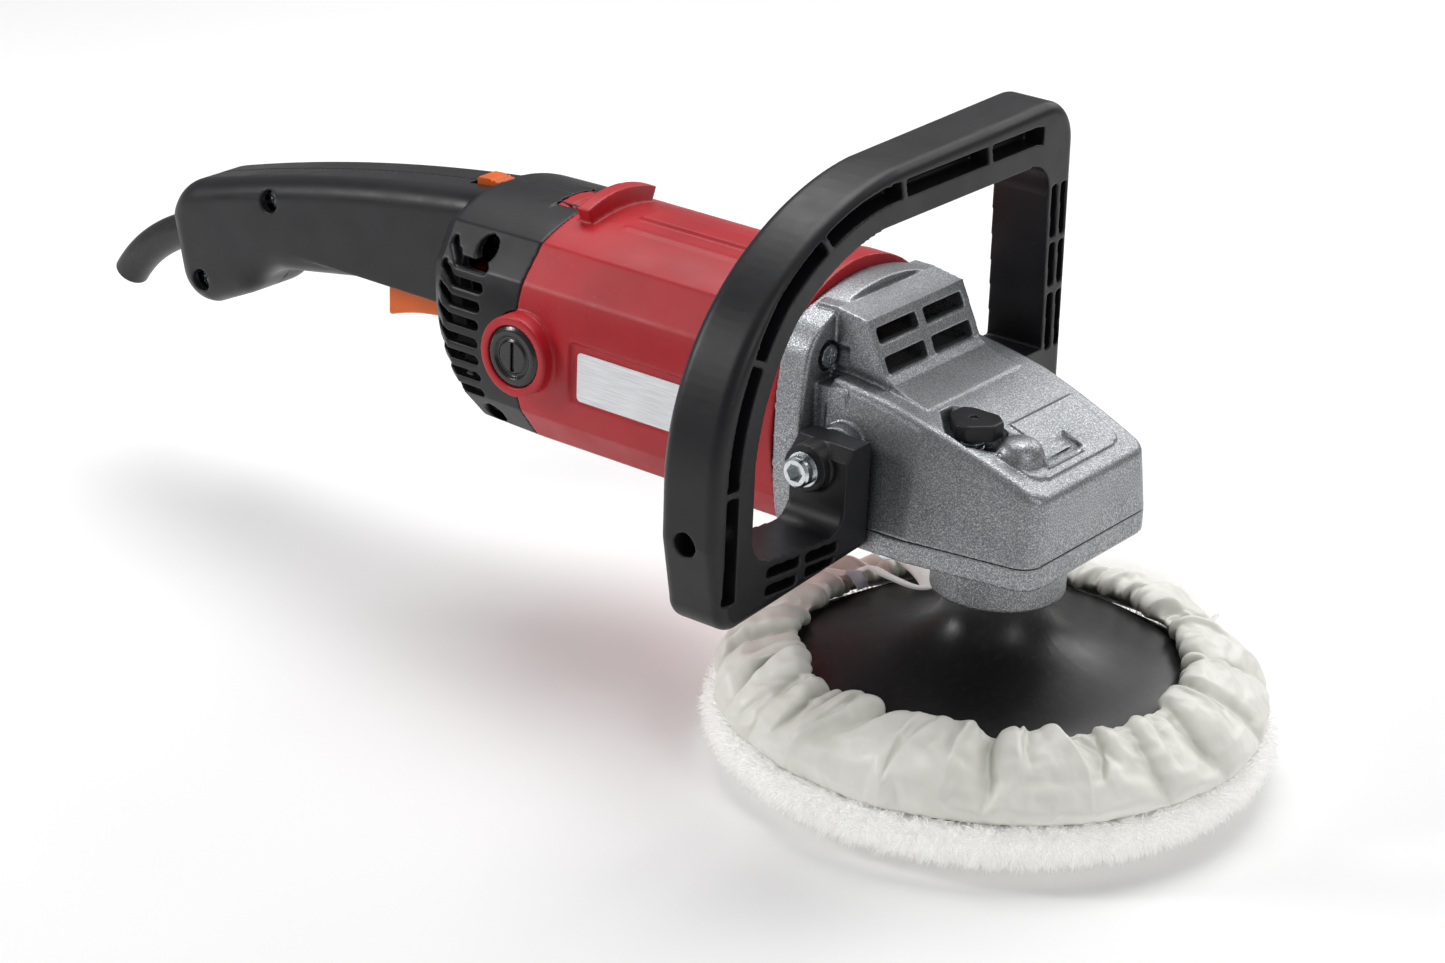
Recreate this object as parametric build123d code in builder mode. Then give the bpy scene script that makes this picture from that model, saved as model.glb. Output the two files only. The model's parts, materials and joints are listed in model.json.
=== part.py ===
from build123d import *
import math
import os

os.makedirs("parts", exist_ok=True)

# Rotary polisher. Origin: centre of the bonnet's working face, on the spindle axis.
# +Z goes up the spindle, +X forward to the nose, -Y to the operator's right. Millimetres.

# ---- driving dimensions ----
motor_z = 113.0          # height of the motor axis over the working face
flange_x = -63.0         # joint of gear housing and motor housing
bell_x = -176.0          # joint of motor housing and rear handle
cover_bottom = 82.0      # gear cover plate, lower face
cover_top = 89.7         # gear cover plate, upper face
collar_bottom = 62.3     # lower end of the spindle collar
collar_r = 23.0
lay_x = -33.75           # layshaft axis
pad_r = 90.0             # backing pad for 180 mm bonnets
brush_x = -172.0         # station of the carbon brushes
wall = 3.0               # plastic wall
run = 0.05               # running clearance on radius
fit = 0.1                # gap between parts that are assembled by hand

# gears
spur_module = 1.25
spindle_teeth = 44
lay_teeth = 10
bevel_module = 1.5
crown_teeth = 24
pinion_teeth = 12
spur_low = 91.6
spur_high = 99.6

# ---- planes and axes ----
side = Plane(origin=(0, 0, 0), x_dir=(1, 0, 0), z_dir=(0, -1, 0))   # local axes are X and Z
motor_axis = Axis((0, 0, motor_z), (1, 0, 0))


def station(x):
    """Plane across the motor axis at x: local axes are Y and height over the motor axis."""
    return Plane(origin=(x, 0, motor_z), x_dir=(0, 1, 0), z_dir=(1, 0, 0))


def across(x):
    """Plane across the machine at x: local axes are Y and Z."""
    return Plane(origin=(x, 0, 0), x_dir=(0, 1, 0), z_dir=(1, 0, 0))


def slice_plane(y):
    """Plane along the machine at y: local axes are X and Z, its normal points to -Y."""
    return Plane(origin=(0, y, 0), x_dir=(1, 0, 0), z_dir=(0, -1, 0))


# ---- small builders ----
def finish(piece, name):
    """Labels a finished piece and writes it."""
    piece.part.label = name
    export_step(piece.part, f"parts/{name}.step")


def turned_x(points):
    """Solid of revolution about the motor axis from (station, radius) points."""
    with BuildPart() as piece:
        with BuildSketch(side):
            with BuildLine():
                Polyline([(x, motor_z + r) for x, r in points], close=True)
            make_face()
        revolve(axis=motor_axis)
    return piece


def turned_z(points, x=0.0):
    """Solid of revolution about a vertical axis at x from (radius, height) points."""
    with BuildPart() as piece:
        with BuildSketch(side):
            with BuildLine():
                Polyline([(x + r, z) for r, z in points], close=True)
            make_face()
        revolve(axis=Axis((x, 0, 0), (0, 0, 1)))
    return piece


def turned_y(points, x, z):
    """Solid of revolution about an axis along Y through (x, z) from (radius, y) points."""
    with BuildPart() as piece:
        with BuildSketch(Plane.XY.offset(z)):
            with BuildLine():
                Polyline([(x + r, y) for r, y in points], close=True)
            make_face()
        revolve(axis=Axis((x, 0, z), (0, 1, 0)))
    return piece


def ring(inner, outer, low, high):
    """Corner points of a plain ring, as (radius, height)."""
    return [(inner, low), (outer, low), (outer, high), (inner, high)]


def bearing_points(inner, outer, low, high):
    """Section of a ball bearing with shields set back from its faces, as (radius, height)."""
    step = 0.6
    third = (outer - inner) / 3
    a = inner + third * 0.8
    b = outer - third * 0.8
    return [(inner, low), (a, low), (a, low + step), (b, low + step), (b, low), (outer, low),
            (outer, high), (b, high), (b, high - step), (a, high - step), (a, high), (inner, high)]


def swap(points):
    """Turns (radius, height) points into (station, radius) points."""
    return [(z, r) for r, z in points]


def gear_points(teeth, root, pitch, tip, thickness, phase):
    """Outline of a gear with straight-sided teeth; phase is the angle of one tooth's middle."""
    points = []
    step = 2 * math.pi / teeth
    half = thickness / 2 / pitch
    for i in range(teeth):
        middle = math.radians(phase) + i * step
        for radius, spread in ((root, 1.45), (pitch, 1.0), (tip, 0.5)):
            angle = middle - half * spread
            points.append((radius * math.cos(angle), radius * math.sin(angle)))
        for radius, spread in ((tip, 0.5), (pitch, 1.0), (root, 1.45)):
            angle = middle + half * spread
            points.append((radius * math.cos(angle), radius * math.sin(angle)))
    return points


# ---- outlines shared by several pieces ----
def housing_outline(inset=0.0):
    """Faceted section of the motor housing about the motor axis, drawn in by inset."""
    with BuildSketch() as outline:
        with BuildLine():
            ThreePointArc((-32, 36.0), (0, 43.4), (32, 36.0))
            Line((32, 36.0), (42.3, 23.8))
            ThreePointArc((42.3, 23.8), (46.8, 0), (42.3, -23.8))
            Line((42.3, -23.8), (33, -35.7))
            ThreePointArc((33, -35.7), (0, -45.2), (-33, -35.7))
            Line((-33, -35.7), (-42.3, -23.8))
            ThreePointArc((-42.3, -23.8), (-46.8, 0), (-42.3, 23.8))
            Line((-42.3, 23.8), (-32, 36.0))
        make_face()
        if inset:
            offset(amount=-inset, mode=Mode.REPLACE)
    return outline.sketch


def flange_outline():
    """Outline of the gear housing's flange about the motor axis."""
    with BuildSketch() as outline:
        with BuildLine():
            ThreePointArc((-33, 39.2), (0, 46.2), (33, 39.2))
            ThreePointArc((33, 39.2), (39.6, 34.4), (43, 27.5))
            ThreePointArc((43, 27.5), (46, 0), (43, -27.5))
            ThreePointArc((43, -27.5), (39.6, -34.4), (33, -39.2))
            ThreePointArc((33, -39.2), (0, -46.2), (-33, -39.2))
            ThreePointArc((-33, -39.2), (-39.6, -34.4), (-43, -27.5))
            ThreePointArc((-43, -27.5), (-46, 0), (-43, 27.5))
            ThreePointArc((-43, 27.5), (-39.6, 34.4), (-33, 39.2))
        make_face()
    return outline.sketch


def nose_outline(lean, front, corner=8.0):
    """Plan of the gear housing's nose: half widths less lean, front face at front."""
    back = -47.0
    with BuildSketch() as outline:
        with BuildLine():
            Polyline(
                [(back, -44.6 + lean), (-10, -43.8 + lean), (front, -37 + lean),
                 (front, 37 - lean), (-10, 43.8 - lean), (back, 44.6 - lean)],
                close=True,
            )
        make_face()
        fillet(outline.vertices().group_by(Axis.X)[-1], corner)
    return outline.sketch


def sector(inner, outer, start, end):
    """Part of a ring between two angles in degrees."""
    def at(radius, angle):
        return (radius * math.cos(math.radians(angle)), radius * math.sin(math.radians(angle)))
    middle = (start + end) / 2
    with BuildSketch() as piece:
        with BuildLine():
            Line(at(inner, start), at(outer, start))
            ThreePointArc(at(outer, start), at(outer, middle), at(outer, end))
            Line(at(outer, end), at(inner, end))
            ThreePointArc(at(inner, end), at(inner, middle), at(inner, start))
        make_face()
    return piece.sketch


# ================= bonnet and pad =================

with BuildPart() as backing_pad:
    with BuildSketch(side):
        with BuildLine():
            Line((0, 12), (pad_r, 12))
            Line((pad_r, 12), (pad_r, 20))
            Line((pad_r, 20), (64.5, 35.6))
            Spline((64.5, 35.6), (38, 41.4), (21.5, 50.2), (17, 60.5))
            Line((17, 60.5), (14.1, 60.5))
            Line((14.1, 60.5), (14.1, 42.1))
            Line((14.1, 42.1), (22.1, 42.1))
            Line((22.1, 42.1), (22.1, 37.9))
            Line((22.1, 37.9), (0, 37.9))
            Line((0, 37.9), (0, 12))
        make_face()
    revolve(axis=Axis.Z)
finish(backing_pad, "backing_pad")

pad_hub = turned_z([(7.05, 38), (22, 38), (22, 42), (14, 42), (14, 60.3), (7.05, 60.3)])
finish(pad_hub, "pad_hub")

with BuildPart() as bonnet_wool:
    with BuildSketch(side):
        with BuildLine():
            Line((0, 0), (76, 0))
            Spline((76, 0), (88, 2.4), (97, 7.6), (101, 13.2), (98, 18.2))
            Line((98, 18.2), (92.4, 20))
            Line((92.4, 20), (90.3, 20))
            Line((90.3, 20), (90.3, 11.8))
            Line((90.3, 11.8), (0, 11.8))
            Line((0, 11.8), (0, 0))
        make_face()
    revolve(axis=Axis.Z)
finish(bonnet_wool, "bonnet_wool")

string_r = 68.0
string_z = 38.4
with BuildPart() as bonnet_cover:
    with BuildSketch(side):
        with BuildLine():
            Line((90.4, 20.2), (93, 20.2))
            Spline((93, 20.2), (94.2, 25), (91, 32), (80, 38.5), (70, 41.2), (65, 40.6))
            Line((65, 40.6), (64.5, 36.1))
            Line((64.5, 36.1), (90.4, 20.2))
        make_face()
        with Locations((string_r, string_z)):
            Circle(1.5, mode=Mode.SUBTRACT)
    revolve(axis=Axis.Z)
finish(bonnet_cover, "bonnet_cover")

with BuildPart() as bonnet_drawstring:
    with BuildSketch(side):
        with Locations((string_r, string_z)):
            Circle(1.3)
    revolve(axis=Axis.Z)
finish(bonnet_drawstring, "bonnet_drawstring")

# ================= spindle =================
spindle_bearing_low = 66.6
spindle_bearing_high = 77.6
upper_low = 104.5
upper_high = 112.5
key_width = 4.0

with BuildPart() as spindle:
    with BuildSketch(side):
        with BuildLine():
            Polyline(
                [(0, 43), (6, 43), (7, 44), (7, 60.6), (11, 60.6), (11, 64.4), (9.5, 64.4),
                 (9.5, spindle_bearing_low),
                 (7.5, spindle_bearing_low), (7.5, 79.4), (9, 79.4), (9, spur_low), (7, spur_low), (7, 100.0),
                 (6.2, 100.0), (6.2, 101.1), (7, 101.1), (7, 103.4), (5, 103.4), (5, 112.0), (0, 112.0)],
                close=True,
            )
        make_face()
    revolve(axis=Axis.Z)
    with BuildSketch(Plane.XY.offset(spur_low)):
        with Locations((6, 0)):
            Rectangle(4, key_width)
    extrude(amount=spur_high - spur_low, mode=Mode.SUBTRACT)
finish(spindle, "spindle")

with BuildPart() as spindle_key:
    with BuildSketch(Plane.XY.offset(spur_low + 0.1)):
        with Locations((6.5, 0)):
            Rectangle(4.6, key_width - 0.04)
    extrude(amount=spur_high - spur_low - 0.2)
finish(spindle_key, "spindle_key")

lock_hole_r = 21.5
spindle_pitch = spur_module * spindle_teeth / 2
with BuildPart() as spindle_gear:
    with BuildSketch(Plane.XY.offset(spur_low)):
        with BuildLine():
            Polyline(
                gear_points(spindle_teeth, spindle_pitch - 1.5, spindle_pitch, spindle_pitch + 0.9, 1.6,
                            180 / spindle_teeth),
                close=True,
            )
        make_face()
        Circle(7.0, mode=Mode.SUBTRACT)
        with Locations((7, 0)):
            Rectangle(3.8, key_width, mode=Mode.SUBTRACT)
        with PolarLocations(lock_hole_r, 12):
            Circle(2.8, mode=Mode.SUBTRACT)
    extrude(amount=spur_high - spur_low)
finish(spindle_gear, "spindle_gear")

clip_ring = turned_z(ring(6.2, 9.0, 100.0, 101.1))
with BuildPart() as spindle_clip:
    add(clip_ring.part)
    with Locations((8, 0, 100.5)):
        Box(6, 5, 3, mode=Mode.SUBTRACT)
finish(spindle_clip, "spindle_circlip")

spindle_lower_bearing = turned_z(bearing_points(7.5 + run, 17.5, spindle_bearing_low, spindle_bearing_high))
finish(spindle_lower_bearing, "spindle_lower_bearing")
finish(turned_z(bearing_points(5 + run, 13, upper_low, upper_high)), "spindle_upper_bearing")

# ================= layshaft =================
lay_pitch = spur_module * lay_teeth / 2
crown_pitch = bevel_module * crown_teeth / 2
pinion_pitch = bevel_module * pinion_teeth / 2
lay_low = 83.6
lay_bearing_h = 6.0
lay_top_low = 121.0

with BuildPart() as layshaft:
    with BuildSketch(side):
        with BuildLine():
            Polyline(
                [(lay_x, lay_low + 0.2), (lay_x + 4, lay_low + 0.2),
                 (lay_x + 4, lay_low + lay_bearing_h + 0.3),
                 (lay_x + 4.6, lay_low + lay_bearing_h + 0.3), (lay_x + 4.6, spur_high + 0.6),
                 (lay_x + 5, spur_high + 0.6),
                 (lay_x + 5, 120), (lay_x + 4, 120), (lay_x + 4, 127.5), (lay_x, 127.5)],
                close=True,
            )
        make_face()
    revolve(axis=Axis((lay_x, 0, 0), (0, 0, 1)))
    with BuildSketch(Plane(origin=(lay_x, 0, spur_low - 0.6))):
        with BuildLine():
            Polyline(gear_points(lay_teeth, lay_pitch - 1.6, lay_pitch, lay_pitch + 0.9, 1.6, 0), close=True)
        make_face()
    extrude(amount=spur_high - spur_low + 1.0)
finish(layshaft, "layshaft")


def bevel_blank(teeth, cone_axial, cone_radius, phase, big, small, plane_at):
    """Toothed cone lofted between two scaled sections; its apex is where the axes cross."""
    pitch_angle = math.atan(cone_radius / cone_axial)
    distance = math.hypot(cone_radius, cone_axial)
    add_angle = 0.85 * bevel_module / distance
    ded_angle = 1.25 * bevel_module / distance
    tip = cone_axial * math.tan(pitch_angle + add_angle)
    root = cone_axial * math.tan(pitch_angle - ded_angle)
    with BuildPart() as blank:
        for scale in (big, small):
            with BuildSketch(plane_at(cone_axial * scale)):
                with BuildLine():
                    Polyline(
                        gear_points(teeth, root * scale, cone_radius * scale, tip * scale, 1.75 * scale, phase),
                        close=True,
                    )
                make_face()
        loft(ruled=True)
    return blank


crown_cone = bevel_blank(
    crown_teeth, pinion_pitch, crown_pitch, 180 + 180 / crown_teeth, 1.3, 0.6,
    lambda d: Plane(origin=(lay_x, 0, motor_z - d)),
)
with BuildPart() as crown_gear:
    add(crown_cone.part)
    with BuildSketch(Plane.XY.offset(spur_high + 0.9)):
        with Locations((lay_x, 0)):
            Circle(18.8)
    extrude(amount=12, mode=Mode.INTERSECT)
    with BuildSketch(Plane.XY.offset(spur_high + 0.9)):
        with Locations((lay_x, 0)):
            Circle(16)
    extrude(amount=2)
    with BuildSketch(Plane.XY.offset(spur_high)):
        with Locations((lay_x, 0)):
            Circle(5)
    extrude(amount=20, mode=Mode.SUBTRACT)
finish(crown_gear, "crown_gear")

layshaft_lower_bearing = turned_z(bearing_points(4 + run, 9.5, lay_low, lay_low + lay_bearing_h), lay_x)
finish(layshaft_lower_bearing, "layshaft_lower_bearing")
finish(turned_z(bearing_points(4 + run, 11, lay_top_low, lay_top_low + 7), lay_x), "layshaft_upper_bearing")

# ================= armature =================
pinion_cone = bevel_blank(
    pinion_teeth, crown_pitch, pinion_pitch, -90, 1.08, 0.64,
    lambda d: Plane(origin=(lay_x - d, 0, motor_z), x_dir=(0, 1, 0), z_dir=(1, 0, 0)),
)
with BuildPart() as bevel_pinion:
    add(pinion_cone.part)
    with BuildSketch(station(-55.5)):
        Circle(7.5)
    extrude(amount=3)
    with BuildSketch(station(-58)):
        Circle(4.5)
    extrude(amount=20, mode=Mode.SUBTRACT)
finish(bevel_pinion, "bevel_pinion")

armature_shaft = turned_x(
    [(-199, 0), (-199, 4), (-188.5, 4), (-188.5, 5), (-67, 5), (-67, 6), (-55.7, 6), (-55.7, 4.5),
     (-44.2, 4.5),
     (-44.2, 0)]
)
finish(armature_shaft, "armature_shaft")

core_back = -154.0
core_front = -102.0
core_r = 22.5
with BuildPart() as armature_core:
    with BuildSketch(station(core_back)):
        Circle(core_r)
        Circle(5, mode=Mode.SUBTRACT)
        with PolarLocations(core_r - 4, 12):
            Rectangle(9, 2.6, mode=Mode.SUBTRACT)
    extrude(amount=core_front - core_back)
finish(armature_core, "armature_core")

with BuildPart() as armature_windings:
    with BuildSketch(station(core_back + 0.1)):
        with PolarLocations(core_r - 5, 12):
            Rectangle(6, 2.2)
    extrude(amount=core_front - core_back - 0.2)
    for x in (core_back - 8.0, core_front):
        with BuildSketch(station(x)):
            Circle(20.5)
            Circle(6.5, mode=Mode.SUBTRACT)
        extrude(amount=8.0)
    with BuildSketch(station(core_back)):
        Circle(core_r + 1)
        with PolarLocations(core_r - 5, 12):
            Rectangle(6, 2.2, mode=Mode.SUBTRACT)
    extrude(amount=core_front - core_back, mode=Mode.SUBTRACT)
finish(armature_windings, "armature_windings")

commutator_back = -183.0
with BuildPart() as commutator:
    with BuildSketch(station(commutator_back)):
        Circle(14)
        Circle(5, mode=Mode.SUBTRACT)
        with PolarLocations(14, 24):
            Rectangle(2, 0.5, mode=Mode.SUBTRACT)
    extrude(amount=17)
finish(commutator, "commutator")

fan_x = -86.0
fan_r = 36.0
with BuildPart() as fan:
    with BuildSketch(station(fan_x)):
        Circle(fan_r)
        Circle(5, mode=Mode.SUBTRACT)
    extrude(amount=2)
    with BuildSketch(station(fan_x)):
        Circle(10)
        Circle(5, mode=Mode.SUBTRACT)
    extrude(amount=15)
    with BuildSketch(station(fan_x)):
        with PolarLocations(26, 11):
            Rectangle(19.5, 2, rotation=24)
    extrude(amount=14)
finish(fan, "fan")

finish(turned_x(swap(bearing_points(6 + run, 16, -66, -56))), "front_armature_bearing")
finish(turned_x(swap(bearing_points(4 + run, 11, -197, -190))), "rear_armature_bearing")
finish(turned_x(swap(ring(11, 13.4, -197.8, -189.2))), "rear_bearing_sleeve")

with BuildPart() as bearing_retainer:
    with BuildSketch(station(-67.8)):
        Circle(21)
        Circle(9, mode=Mode.SUBTRACT)
        with PolarLocations(18.6, 3):
            Circle(1.6, mode=Mode.SUBTRACT)
    extrude(amount=1.6)
finish(bearing_retainer, "bearing_retainer")

with BuildPart() as retainer_screws:
    with BuildSketch(station(-69.6)):
        with PolarLocations(18.6, 3):
            Circle(2.6)
    extrude(amount=1.8)
    with BuildSketch(station(-67.8)):
        with PolarLocations(18.6, 3):
            Circle(1.5)
    extrude(amount=8)
finish(retainer_screws, "retainer_screws")

# ================= stator =================
stator_r = 39.5
bore_r = 23.4
winding_r = 32.6

with BuildPart() as stator_core:
    with BuildSketch(station(core_back)):
        Circle(stator_r)
        Circle(bore_r, mode=Mode.SUBTRACT)
    extrude(amount=core_front - core_back)
    for start in (12, 146, 192, 326):
        with BuildSketch(station(core_back)):
            add(sector(26, winding_r + 0.2, start, start + 22))
        extrude(amount=core_front - core_back, mode=Mode.SUBTRACT)
    with BuildSketch(station(core_back)):
        with Locations((0, 36.6), (0, -36.6)):
            Circle(2.3)
    extrude(amount=core_front - core_back, mode=Mode.SUBTRACT)
finish(stator_core, "stator_core")

coil_reach = 7.5
with BuildPart() as stator_windings:
    for start in (12, 146, 192, 326):
        with BuildSketch(station(core_back - coil_reach)):
            add(sector(26.2, winding_r, start + 0.6, start + 21.4))
        extrude(amount=core_front - core_back + 2 * coil_reach)
    for x in (core_back - coil_reach, core_front + 0.2):
        for start in (12.6, 192.6):
            with BuildSketch(station(x)):
                add(sector(26.2, winding_r, start, start + 154.8))
            extrude(amount=coil_reach - 0.2)
finish(stator_windings, "stator_windings")

with BuildPart() as stator_screws:
    for x, radius, length in ((core_back - 3, 3.6, 3), (core_back, 2.1, core_front - core_back + 8)):
        with BuildSketch(station(x)):
            with Locations((0, 36.6), (0, -36.6)):
                Circle(radius)
        extrude(amount=length)
finish(stator_screws, "stator_screws")

# ================= motor housing =================
screw_spots = [(32, 27), (-32, 27), (23, -36), (-23, -36)]    # Y and height over the motor axis
boss_r = 14.7
boss_face = 52.0
cap_r = 11.2
label_back = -151.0
label_front = -75.0
label_floor = 44.9

with BuildPart() as motor_housing:
    with BuildSketch(station(bell_x)):
        add(housing_outline())
    extrude(amount=flange_x - bell_x)
    with BuildSketch(station(bell_x)):
        add(housing_outline(wall))
    extrude(amount=flange_x - bell_x, mode=Mode.SUBTRACT)
    # ribs that hold the stator, cut back by the stator's seat below
    with BuildSketch(station(core_back)):
        with PolarLocations(41.5, 4, start_angle=20):
            Rectangle(6, 6)
        with Locations((0, 38.5), (0, -38.5)):
            Rectangle(10, 12)
        Circle(bore_r + 16.1, mode=Mode.SUBTRACT)
    extrude(amount=core_front - core_back)
    # lugs that take the stator screws
    with BuildSketch(station(core_front + 0.1)):
        with Locations((0, 39.5), (0, -39.5)):
            Rectangle(10, 11)
    extrude(amount=9)
    # screw bosses at the front joint
    with BuildSketch(station(flange_x - 18)):
        with Locations(screw_spots):
            Circle(4.4)
    extrude(amount=18)
    # tongue that the rear half shells clamp, and the cup of the rear bearing
    with BuildSketch(side):
        with BuildLine():
            Polyline(
                [(-199.5, motor_z + 9), (-199.5, motor_z + 16), (-188, motor_z + 16),
                 (-188, motor_z + 43.2),
                 (-182.8, motor_z + 43.2), (-182.8, motor_z + 42.2), (-180.6, motor_z + 42.2),
                 (-180.6, motor_z + 43.2),
                 (bell_x, motor_z + 43.2), (bell_x, motor_z + 44), (bell_x + 3, motor_z + 44),
                 (bell_x + 3, motor_z + 40.5), (-185, motor_z + 40.5), (-185, motor_z + 13.4),
                 (-198, motor_z + 13.4),
                 (-198, motor_z + 9)],
                close=True,
            )
        make_face()
    revolve(axis=motor_axis)
    for start in (18, 108, 198, 288):
        with BuildSketch(station(-188)):
            add(sector(19, 38, start, start + 54))
        extrude(amount=3, mode=Mode.SUBTRACT)
    # round bosses of the brush caps
    for hand in (1, -1):
        with BuildSketch(slice_plane(hand * 35)):
            with Locations((brush_x, motor_z)):
                Circle(boss_r)
        extrude(amount=-hand * (boss_face - 35))
    # inside of the bosses and of the housing around the commutator
    with BuildSketch(station(-184.9)):
        Circle(34)
    extrude(amount=29, mode=Mode.SUBTRACT)
    # arched stop on top, at the rear
    with BuildSketch(station(bell_x + 4)):
        add(sector(43, 50.4, 68, 112))
    extrude(amount=6)
    # arched rim on top, at the front joint
    with BuildSketch(station(flange_x - 11)):
        add(sector(43, 50.4, 55, 125))
    extrude(amount=11)
    # stepped seam below the upper facets
    for hand in (1, -1):
        with BuildSketch(across(bell_x)):
            with Locations((hand * 42.4, motor_z + 23.8)):
                Rectangle(1.2, 0.8)
        extrude(amount=flange_x - bell_x, mode=Mode.SUBTRACT)
    # label recesses
    for hand in (1, -1):
        with BuildSketch(slice_plane(hand * label_floor)):
            with Locations(((label_back + label_front) / 2, motor_z - 1.5)):
                Rectangle(label_front - label_back, 22)
        extrude(amount=-hand * 6, mode=Mode.SUBTRACT)
    # bores for the caps and brush holders
    for hand in (1, -1):
        with BuildSketch(slice_plane(hand * 44.3)):
            with Locations((brush_x, motor_z)):
                Circle(cap_r + 0.1)
        extrude(amount=-hand * 10, mode=Mode.SUBTRACT)
        with BuildSketch(slice_plane(hand * 30)):
            with Locations((brush_x, motor_z)):
                Rectangle(9.1, 13.1)
        extrude(amount=-hand * 20, mode=Mode.SUBTRACT)
    # screw holes
    with BuildSketch(station(flange_x - 16)):
        with Locations(screw_spots):
            Circle(2.0)
    extrude(amount=17, mode=Mode.SUBTRACT)
    with BuildSketch(station(core_front)):
        with Locations((0, 36.6), (0, -36.6)):
            Circle(2.15)
    extrude(amount=8.5, mode=Mode.SUBTRACT)
finish(motor_housing, "motor_housing")

with BuildPart() as label_plates:
    for hand in (1, -1):
        with BuildSketch(slice_plane(hand * label_floor)):
            with Locations(((label_back + label_front) / 2 + 1, motor_z - 2.6)):
                RectangleRounded(label_front - label_back - 4, 18, 1.8)
        extrude(amount=-hand * 0.4)
finish(label_plates, "label_plates")

with BuildPart() as air_baffle:
    with BuildSketch(station(fan_x - 5)):
        add(housing_outline(wall + fit))
        Circle(30, mode=Mode.SUBTRACT)
        with Locations((0, 40), (0, -40)):
            Rectangle(12, 12, mode=Mode.SUBTRACT)
    extrude(amount=2)
finish(air_baffle, "air_baffle")

# ================= brush gear =================
with BuildPart() as brush_holders:
    for hand in (1, -1):
        with BuildSketch(slice_plane(hand * 16)):
            with Locations((brush_x, motor_z)):
                Rectangle(9, 13)
                Rectangle(6.6, 10.6, mode=Mode.SUBTRACT)
        extrude(amount=-hand * 28)
finish(brush_holders, "brush_holders")

with BuildPart() as carbon_brushes:
    for hand in (1, -1):
        with BuildSketch(slice_plane(hand * 13)):
            with Locations((brush_x, motor_z)):
                Rectangle(6.4, 10.4)
        extrude(amount=-hand * 17)
    with BuildSketch(station(brush_x - 10)):
        Circle(14 + run)
    extrude(amount=20, mode=Mode.SUBTRACT)
finish(carbon_brushes, "carbon_brushes")


def coil(radius, wire, pitch, turns, base, direction):
    """Coil spring that starts around the point base and runs along direction."""
    with BuildPart() as spring:
        with BuildLine():
            path = Helix(pitch=pitch, height=pitch * turns, radius=radius, center=base, direction=direction)
        with BuildSketch(Plane(origin=path @ 0, z_dir=path % 0)):
            Circle(wire)
        sweep()
    return spring


with BuildPart() as brush_springs:
    for hand in (1, -1):
        brush_spring = coil(2.3, 0.35, 2.0, 6, (brush_x, hand * 30.7, motor_z), (0, hand, 0))
        add(brush_spring.part)
finish(brush_springs, "brush_springs")

with BuildPart() as brush_caps:
    for hand in (1, -1):
        cap = turned_y(
            [(0, hand * 43.4), (3, hand * 43.4), (3, hand * 44.4), (cap_r, hand * 44.4),
             (cap_r, hand * 51.2),
             (9.6, hand * 52.2), (8, hand * 52.2), (7.2, hand * 51.2), (6.4, hand * 51.2), (5.6, hand * 51.9),
             (0, hand * 51.9)],
            brush_x, motor_z,
        )
        add(cap.part)
        with BuildSketch(slice_plane(hand * 50.4)):
            with Locations((brush_x, motor_z)):
                Rectangle(1.6, 11)
        extrude(amount=-hand * 3, mode=Mode.SUBTRACT)
finish(brush_caps, "brush_caps")

# ================= gear housing =================
cover_screw_spots = [(27, 27), (27, -27), (-20, 37), (-20, -37)]
lug_y = 44.8              # side faces that carry the loop handle
bolt_x = -38.0
button_x = 0.5
button_y = -21.5
pocket_floor = 119.4
button_travel = 4.5
window_low = (136.4, 142.0)
window_high = (145.8, 150.8)


def button_shield(grow=0.0):
    """Rounded three-sided outline of the lock button, grown by grow."""
    with BuildSketch() as outline:
        with BuildLine():
            Polyline([(-9.2, 5.6), (-9.2, -1.5), (-1.6, -9), (2.6, -9), (9, -2.6), (9, 3.4), (4.5, 7.6),
                      (-5.5, 7.6)],
                     close=True)
        make_face()
        fillet(outline.vertices(), 2.0)
        if grow:
            offset(amount=grow, mode=Mode.REPLACE)
    return outline.sketch


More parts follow.
